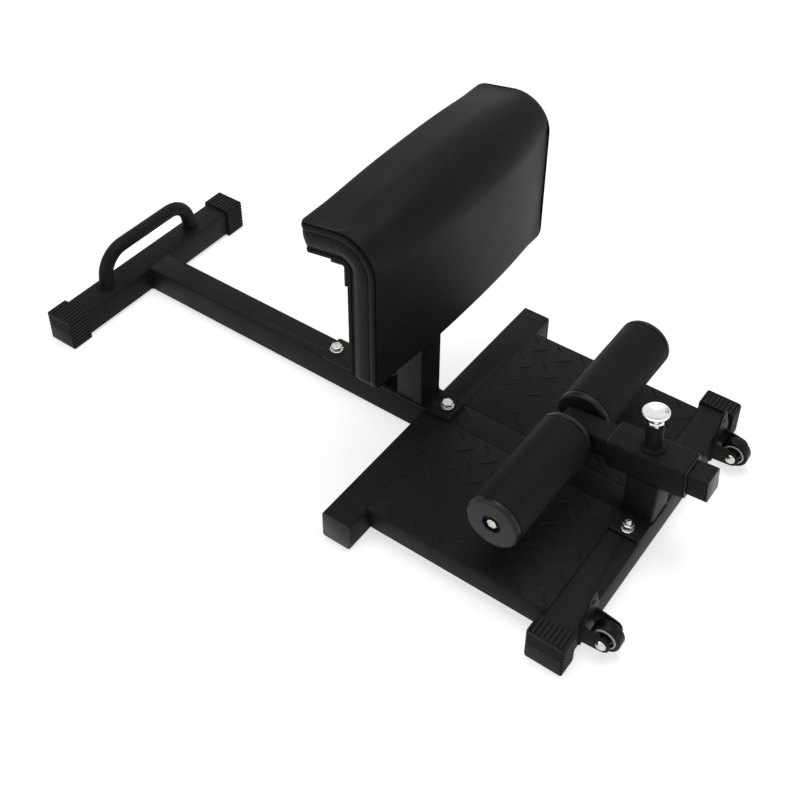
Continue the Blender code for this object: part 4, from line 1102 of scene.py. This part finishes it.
def slice_along(bm, step):
    """Cuts a flat pad shape across its bend, so that the bend comes out round."""
    count = round(PAD_ARC / step)
    for i in range(count + 1):
        way = PAD_BACK_LEG + PAD_ARC * i / count
        bmesh.ops.bisect_plane(bm, geom=all_of(bm), dist=1e-6, plane_co=(way, 0, 0),
                               plane_no=(1, 0, 0))


def flat_slab(start, end, half_width, near, far, corner):
    """A flat slab with rounded corners in plan."""
    bm = bmesh.new()
    bmesh.ops.create_cube(
        bm, size=1.0,
        matrix=Matrix.Translation(((start + end) / 2, 0, (near + far) / 2))
        @ Matrix.Diagonal((end - start, 2 * half_width, far - near, 1)))
    round_edges(bm, upright_edges(bm), corner, segments=6)
    return bm


def applied(piece):
    """Puts the result of a piece's modifiers into its mesh."""
    evaluated = piece.evaluated_get(bpy.context.evaluated_depsgraph_get())
    mesh = bpy.data.meshes.new_from_object(evaluated)
    piece.modifiers.clear()
    old = piece.data
    piece.data = mesh
    bpy.data.meshes.remove(old)
    return mesh


def crown_cover(flat):
    """Arches a flat point of the cover over the pad and tucks it in under the seam."""
    size = sizes()
    share = min(abs(flat.y) / COVER_HALF, 1)
    crown = size.pad_end_crown + (size.pad_crown - size.pad_end_crown) * (
        1 - share ** CROWN_CURVE)
    above = flat.z - SEAM_FAR
    height = SEAM_FAR + above / COVER_ROLL * crown if above > 0 else flat.z
    fade = 0.0036
    tuck = COVER_TUCK * min(max((fade - above) / (fade + 0.0010), 0), 1)
    half = PAD_LENGTH / 2
    across = (flat.x - half) / half
    if abs(across) > share:
        return Vector((flat.x - math.copysign(tuck, across), flat.y, height))
    return Vector((flat.x, flat.y - math.copysign(tuck, flat.y), height))


def loosened(settings, pressure):
    """Sets the cloth to swell under its own pressure, with its sewn edge held."""
    settings.use_pressure = True
    settings.uniform_pressure_force = pressure
    settings.effector_weights.gravity = 0
    settings.vertex_group_mass = "sewn_edge"
    settings.tension_stiffness = 12
    settings.compression_stiffness = 12
    settings.bending_stiffness = 2.0


def swell_cover(piece, flats):
    """Inflates the cover as cloth from its seam. Wrinkles stay only near the seam."""
    scene = bpy.context.scene
    size = sizes()
    mesh = piece.data
    held = piece.vertex_groups.new(name="sewn_edge")
    held.add([i for i, flat in enumerate(flats) if flat.z < SEAM_FAR + 0.001], 1.0, "REPLACE")
    cloth = piece.modifiers.new("swelling", "CLOTH")
    loosened(cloth.settings, size.pad_pressure)
    cloth.collision_settings.use_collision = False
    cloth.collision_settings.use_self_collision = False
    cloth.point_cache.frame_start = 1
    cloth.point_cache.frame_end = SWELL_STEPS
    for step in range(1, SWELL_STEPS + 1):
        scene.frame_set(step)
    evaluated = piece.evaluated_get(bpy.context.evaluated_depsgraph_get())
    raw = [end.co - start.co for end, start in zip(evaluated.data.vertices, mesh.vertices)]
    piece.modifiers.clear()
    piece.vertex_groups.clear()
    scene.frame_set(1)

    near = [[] for _ in raw]
    for edge in mesh.edges:
        first, second = edge.vertices
        near[first].append(second)
        near[second].append(first)
    even = raw
    for _ in range(EVEN_ROUNDS):
        even = [move * 0.4 + sum((even[i] for i in around), Vector()) * (0.6 / len(around))
                for move, around in zip(even, near)]
    for vert, flat, rough, smooth in zip(mesh.vertices, flats, raw, even):
        edge_way = min(flat.x, PAD_LENGTH - flat.x, COVER_HALF - abs(flat.y))
        crease = ((0.85 if in_bend(flat.x) else 0.35)
                  * math.exp(-max(edge_way, 0) / WRINKLE_REACH))
        move = smooth + (rough - smooth) * crease
        if move.length > 1e-7 and flat.z > SEAM_FAR:
            vert.co += move.normalized() * size.pad_swell * math.tanh(move.length / size.pad_swell)


class SQUAT_OT_calf_pad(bpy.types.Operator):
    """Makes the padded calf rest: swollen cover, sewn border and stitches"""

    bl_idname = "squat.calf_pad"
    bl_label = "Calf Pad"

    def execute(self, context):
        size = sizes()
        bm = flat_slab(0, PAD_LENGTH, COVER_HALF, COVER_NEAR + 0.001, SEAM_FAR + COVER_ROLL, 0.013)
        rim = [edge for edge in bm.edges
               if min(vert.co.z for vert in edge.verts) > SEAM_FAR and edge.is_manifold
               and edge.calc_face_angle() > 1.0]
        round_edges(bm, rim, COVER_ROLL, segments=5)
        cover = keep_piece(bm, "calf_pad_cover", "black_vinyl", nodes=["calf_pad"])
        remesh = cover.modifiers.new("even_grid", "REMESH")
        remesh.mode = "VOXEL"
        remesh.voxel_size = size.pad_grid
        mesh = applied(cover)
        bm = bmesh.new()
        bm.from_mesh(mesh)
        bmesh.ops.recalc_face_normals(bm, faces=bm.faces)
        flats = [vert.co.copy() for vert in bm.verts]
        for vert in bm.verts:
            vert.co = crown_cover(vert.co)
        bend_pad(bm)
        bm.to_mesh(mesh)
        bm.free()
        swell_cover(cover, flats)
        finer = cover.modifiers.new("finer", "SUBSURF")
        finer.levels = 1
        finer.render_levels = 1
        applied(cover).shade_smooth()

        border = self.border(size)
        bend_pad(border)
        bmesh.ops.recalc_face_normals(border, faces=border.faces)
        keep_piece(border, "calf_pad_border", "black_vinyl", crease=50)

        # The seam piece is painted shade in the main seam's groove; the stitches are real thread. Both take the
        # dark thread finish.
        for name, threads_and_painted_shade in (("calf_pad_seam_painted_shade", self.painted_seam_shade()),
                              ("calf_pad_stitches", self.stitches(size))):
            bend_pad(threads_and_painted_shade)
            bmesh.ops.recalc_face_normals(threads_and_painted_shade, faces=threads_and_painted_shade.faces)
            sewn = keep_piece(threads_and_painted_shade, name, "black_vinyl", crease=60)
            sewn.data.materials[0] = thread_and_painted_seam_shade()
        return {"FINISHED"}

    def painted_seam_shade(self):
        """Painted shade: a thin, dull dark cord laid in the main seam's groove, standing in for the groove's
        shadow.
        """
        radius, inset, rise = 0.0010, 0.0021, 0.0002
        turns = [math.tau * i / 8 for i in range(8)]
        return self.swept([(-inset + radius * math.cos(turn), SEAM_FAR + rise
                            + radius * math.sin(turn)) for turn in turns])

    def border(self, size):
        """The sewn border, a little puckered along its ends and more so where it bends."""
        seam = SEAM_FAR - 0.0001
        sewn = seam - size.band_width
        wall = 0.0048
        low = COVER_NEAR + 0.0002
        bm = self.swept([
            (-wall, low), (-0.0012, low), (-0.0002, low + 0.0012), (0.0010, (low + sewn) / 2),
            (0.0004, sewn - 0.0022), (0, sewn - 0.0010), (-size.seam_depth, sewn),
            (0, sewn + 0.0010), (0.0004, sewn + 0.0024), (0.0006, (sewn + seam) / 2),
            (0.0004, seam - 0.0030), (-0.0003, seam - 0.0016), (-0.0016, seam - 0.0006),
            (-0.0034, seam), (-wall, seam)])
        for vert in bm.verts:
            if low + 0.001 < vert.co.z < sewn - 0.0012 and abs(vert.co.y) > COVER_HALF - 0.001:
                pucker = noise.noise(Vector((vert.co.x * 85, vert.co.y * 3, vert.co.z * 60)))
                height = 0.0012 if in_bend(vert.co.x) else 0.0004
                vert.co.y += math.copysign(height * pucker, vert.co.y)
        return bm

    def swept(self, outline):
        """A closed profile swept round the flat pad, corner by corner."""
        corner = 0.012
        bm = bmesh.new()
        ring = [bm.verts.new((corner, -(COVER_HALF + out), depth)) for out, depth in outline]
        ring += [bm.edges.new(pair) for pair in zip(ring, ring[1:] + ring[:1])]
        length, width = PAD_LENGTH - 2 * corner, 2 * (COVER_HALF - corner)
        far, side = PAD_LENGTH - corner, width / 2
        for way, centre, steps in (((length, 0, 0), (far, -side, 0), 90),
                                   ((0, width, 0), (far, side, 0), 40),
                                   ((-length, 0, 0), (corner, side, 0), 90),
                                   ((0, -width, 0), (corner, -side, 0), 40)):
            for _ in range(steps):
                ring = drawn_on(bm, only(bmesh.types.BMEdge, ring), Vector(way) / steps)
            turned = bmesh.ops.spin(bm, geom=ring, cent=centre, axis=(0, 0, 1),
                                    angle=math.pi / 2, steps=6)["geom_last"]
            ring = [item for item in turned if not isinstance(item, bmesh.types.BMFace)]
        bmesh.ops.remove_doubles(bm, verts=bm.verts, dist=1e-5)
        return bm

    def stitches(self, size):
        """Thread dashes in the groove under the band, laid out flat."""
        depth = SEAM_FAR - 0.0001 - size.band_width
        inset, trim_end = 0.0003, 0.015
        long_run, wide_run = PAD_LENGTH - 2 * trim_end, 2 * (COVER_HALF - trim_end)
        rows = []
        count = round(long_run / size.stitch_pitch)
        for i in range(count + 1):
            way = trim_end + long_run * i / count
            rows += [((way, y, depth), 0) for y in (inset - COVER_HALF, COVER_HALF - inset)]
        count = round(wide_run / size.stitch_pitch)
        for i in range(count + 1):
            across = wide_run * (i / count - 0.5)
            rows += [((x, across, depth), math.pi / 2) for x in (inset, PAD_LENGTH - inset)]
        shape = Matrix.Diagonal((0.0017, 0.0006, 0.0006, 1))
        bm = bmesh.new()
        for start in range(0, len(rows), STITCH_RUN):
            run = bmesh.new()
            for place, turn in rows[start:start + STITCH_RUN]:
                bmesh.ops.create_uvsphere(
                    run, u_segments=6, v_segments=4, radius=1.0,
                    matrix=Matrix.Translation(place) @ Matrix.Rotation(turn, 4, "Z") @ shape)
            absorb(bm, run)
        return bm


class SQUAT_OT_pad_board(bpy.types.Operator):
    """Makes the pad's two-ply board with its angles and bolts"""

    bl_idname = "squat.pad_board"
    bl_label = "Pad Board"

    def execute(self, context):
        half = BOARD_HIGH.y
        middle = (BOARD_NEAR + BOARD_FAR) / 2
        plies = bmesh.new()
        for near, far, inset in ((BOARD_NEAR, middle - GAP, 0.0),
                                 (middle + GAP, BOARD_FAR, 0.0008)):
            bm = flat_slab(inset, PAD_LENGTH - inset, half - inset, near, far, 0.005)
            soften(bm, 0.0010)
            slice_along(bm, 0.005)
            absorb(plies, bm)
        bend_pad(plies)
        keep_piece(plies, "pad_board_plies", "black_board", nodes=["pad_board"])

        out = Vector((math.cos(PAD_TURN), 0, math.sin(PAD_TURN)))
        along = Vector((-math.sin(PAD_TURN), 0, math.cos(PAD_TURN)))
        angle_sheet = 0.004
        seat = PAD_CORNER + out * (BOARD_NEAR - GAP - angle_sheet - GAP) + along * 0.0105
        for side, _ in SIDES:
            rounded_copy("pad_angle_" + side, "pad_angle_steel_" + side, width=0.0005)
            low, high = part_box("pad_bolt_" + side)
            seat.y = (low.y + high.y) / 2
            washer_top = 0.0012
            bm = washer(0.0065, 0.0032, 0, washer_top)
            absorb(bm, hex_prism(0.010, washer_top, 0.0062, 0.0006))
            absorb(bm, threaded_rod(0.003, -0.014, washer_top, 0.001))
            set_on(bm, seat, -out, 0.3)
            keep_piece(bm, "pad_bolt_zinc_" + side, "zinc_steel", nodes=["pad_bolt_" + side])
        return {"FINISHED"}


# Stage

CAMERA_PLACE = (0.88962, -1.19147, 1.49872)
CAMERA_AZIMUTH = math.radians(35.67)
CAMERA_ELEVATION = math.radians(38.61)
CAMERA_ROLL = math.radians(0.30)
FLOOR_GLOW = 0.66
ROOM_LIGHT = 0.20


def add_lamp(name, place, target, size, power):
    """A square softbox aimed at a place."""
    lamp = bpy.data.lights.new(name, "AREA")
    lamp.shape = "SQUARE"
    lamp.size = size
    lamp.energy = power
    made = bpy.data.objects.new(name, lamp)
    bpy.context.scene.collection.objects.link(made)
    made.location = place
    made.rotation_mode = "QUATERNION"
    made.rotation_quaternion = (Vector(target) - Vector(place)).to_track_quat("-Z", "Y")


def seen_by_camera(owner):
    """A node that gives 1 where the camera sees a thing, mirrored or through glass too, else 0."""
    ray = add_node(owner, "ShaderNodeLightPath")
    either = add_node(owner, "ShaderNodeMath", operation="MAXIMUM")
    seen = add_node(owner, "ShaderNodeMath", operation="MAXIMUM")
    link(owner, ray, "Is Camera Ray", either, 0)
    link(owner, ray, "Is Glossy Ray", either, 1)
    link(owner, either, "Value", seen, 0)
    link(owner, ray, "Is Transmission Ray", seen, 1)
    return seen


def floor_finish():
    """A pale floor that keeps shadows and is white to the camera and in reflections."""
    made = bpy.data.materials.new("studio_floor")
    made.use_nodes = True
    made.node_tree.nodes.clear()
    output = add_node(made, "ShaderNodeOutputMaterial")
    paint = add_node(made, "ShaderNodeBsdfDiffuse", Color=(*colours().floor, 1))
    glow = add_node(made, "ShaderNodeEmission")
    lift = add_node(made, "ShaderNodeMath", operation="MULTIPLY")
    lift.inputs[1].default_value = FLOOR_GLOW
    both = add_node(made, "ShaderNodeAddShader")
    link(made, seen_by_camera(made), "Value", lift, 0)
    link(made, lift, "Value", glow, "Strength")
    link(made, paint, "BSDF", both, 0)
    link(made, glow, "Emission", both, 1)
    link(made, both, "Shader", output, "Surface")
    return made


class SQUAT_OT_stage(bpy.types.Operator):
    """Sets the pale floor, the soft studio light and the camera"""

    bl_idname = "squat.stage"
    bl_label = "Stage"

    def execute(self, context):
        bm = bmesh.new()
        bmesh.ops.create_grid(bm, x_segments=1, y_segments=1, size=9.0,
                              matrix=Matrix.Translation((0, 0, -0.0005)))
        mesh = bpy.data.meshes.new("studio_floor")
        bm.to_mesh(mesh)
        bm.free()
        floor = bpy.data.objects.new("studio_floor", mesh)
        context.scene.collection.objects.link(floor)
        mesh.materials.append(floor_finish())

        add_lamp("lamp_top", (0.2, 0.2, 2.7), (0, 0, 0.1), 1.6, 27)
        add_lamp("lamp_near", (-1.0, -2.8, 1.6), (0, 0, 0.2), 1.0, 17.5)
        add_lamp("lamp_front", (2.9, 0.3, 1.0), (0.2, 0, 0.2), 1.0, 8)
        self.world(context)
        self.camera(context)
        context.scene.view_settings.view_transform = "Standard"
        return {"FINISHED"}

    def world(self, context):
        """A plain bright room: white where the camera sees it."""
        world = bpy.data.worlds.new("studio_room")
        context.scene.world = world
        world.use_nodes = True
        room = world.node_tree.nodes["Background"]
        room.inputs["Color"].default_value = (1, 1, 1, 1)
        level = add_node(world, "ShaderNodeMapRange")
        level.inputs["To Min"].default_value = ROOM_LIGHT
        level.inputs["To Max"].default_value = 1.0
        link(world, seen_by_camera(world), "Value", level, "Value")
        link(world, level, "Result", room, "Strength")

    def camera(self, context):
        """The photograph's own point of view."""
        lens = bpy.data.cameras.new("photo_camera")
        lens.sensor_width = 36
        lens.lens = 57.106
        lens.shift_x = -0.0035
        lens.shift_y = -0.1838
        lens.clip_start = 0.05
        lens.clip_end = 40
        camera = bpy.data.objects.new("photo_camera", lens)
        context.scene.collection.objects.link(camera)
        camera.location = CAMERA_PLACE
        aim = Matrix.Rotation(CAMERA_AZIMUTH, 4, "Z") @ Matrix.Rotation(
            math.pi / 2 - CAMERA_ELEVATION, 4, "X") @ Matrix.Rotation(CAMERA_ROLL, 4, "Z")
        camera.rotation_mode = "QUATERNION"
        camera.rotation_quaternion = aim.to_quaternion()
        context.scene.camera = camera


OPERATORS = (
    SQUAT_OT_frame_steel,
    SQUAT_OT_weld_beads,
    SQUAT_OT_carry_handle,
    SQUAT_OT_tread_marks,
    SQUAT_OT_end_caps,
    SQUAT_OT_frame_bolts,
    SQUAT_OT_foot_rollers,
    SQUAT_OT_pull_pin,
    SQUAT_OT_transport_wheels,
    SQUAT_OT_pad_board,
    SQUAT_OT_calf_pad,
    SQUAT_OT_stage,
)


class SQUAT_PT_panel(bpy.types.Panel):
    """Lists the machine's sizes, colours and pieces"""

    bl_idname = "SQUAT_PT_panel"
    bl_label = "Squat Machine"
    bl_space_type = "VIEW_3D"
    bl_region_type = "UI"
    bl_category = "Squat"

    def draw(self, context):
        for group in (context.scene.squat_sizes, context.scene.squat_colours):
            for name in group.__annotations__:
                self.layout.prop(group, name)
        for operator in OPERATORS:
            self.layout.operator(operator.bl_idname)


CLASSES = (SquatSizes, SquatColours, *OPERATORS, SQUAT_PT_panel)


def register():
    for item in CLASSES:
        bpy.utils.register_class(item)
    bpy.types.Scene.squat_sizes = bpy.props.PointerProperty(type=SquatSizes)
    bpy.types.Scene.squat_colours = bpy.props.PointerProperty(type=SquatColours)


def unregister():
    del bpy.types.Scene.squat_colours
    del bpy.types.Scene.squat_sizes
    for item in reversed(CLASSES):
        bpy.utils.unregister_class(item)


def main():
    register()
    bpy.ops.squat.frame_steel()
    bpy.ops.squat.weld_beads()
    bpy.ops.squat.carry_handle()
    bpy.ops.squat.tread_marks()
    bpy.ops.squat.end_caps()
    bpy.ops.squat.frame_bolts()
    bpy.ops.squat.foot_rollers()
    bpy.ops.squat.pull_pin()
    bpy.ops.squat.transport_wheels()
    bpy.ops.squat.pad_board()
    bpy.ops.squat.calf_pad()
    bpy.ops.squat.stage()


if __name__ == "__main__":
    main()
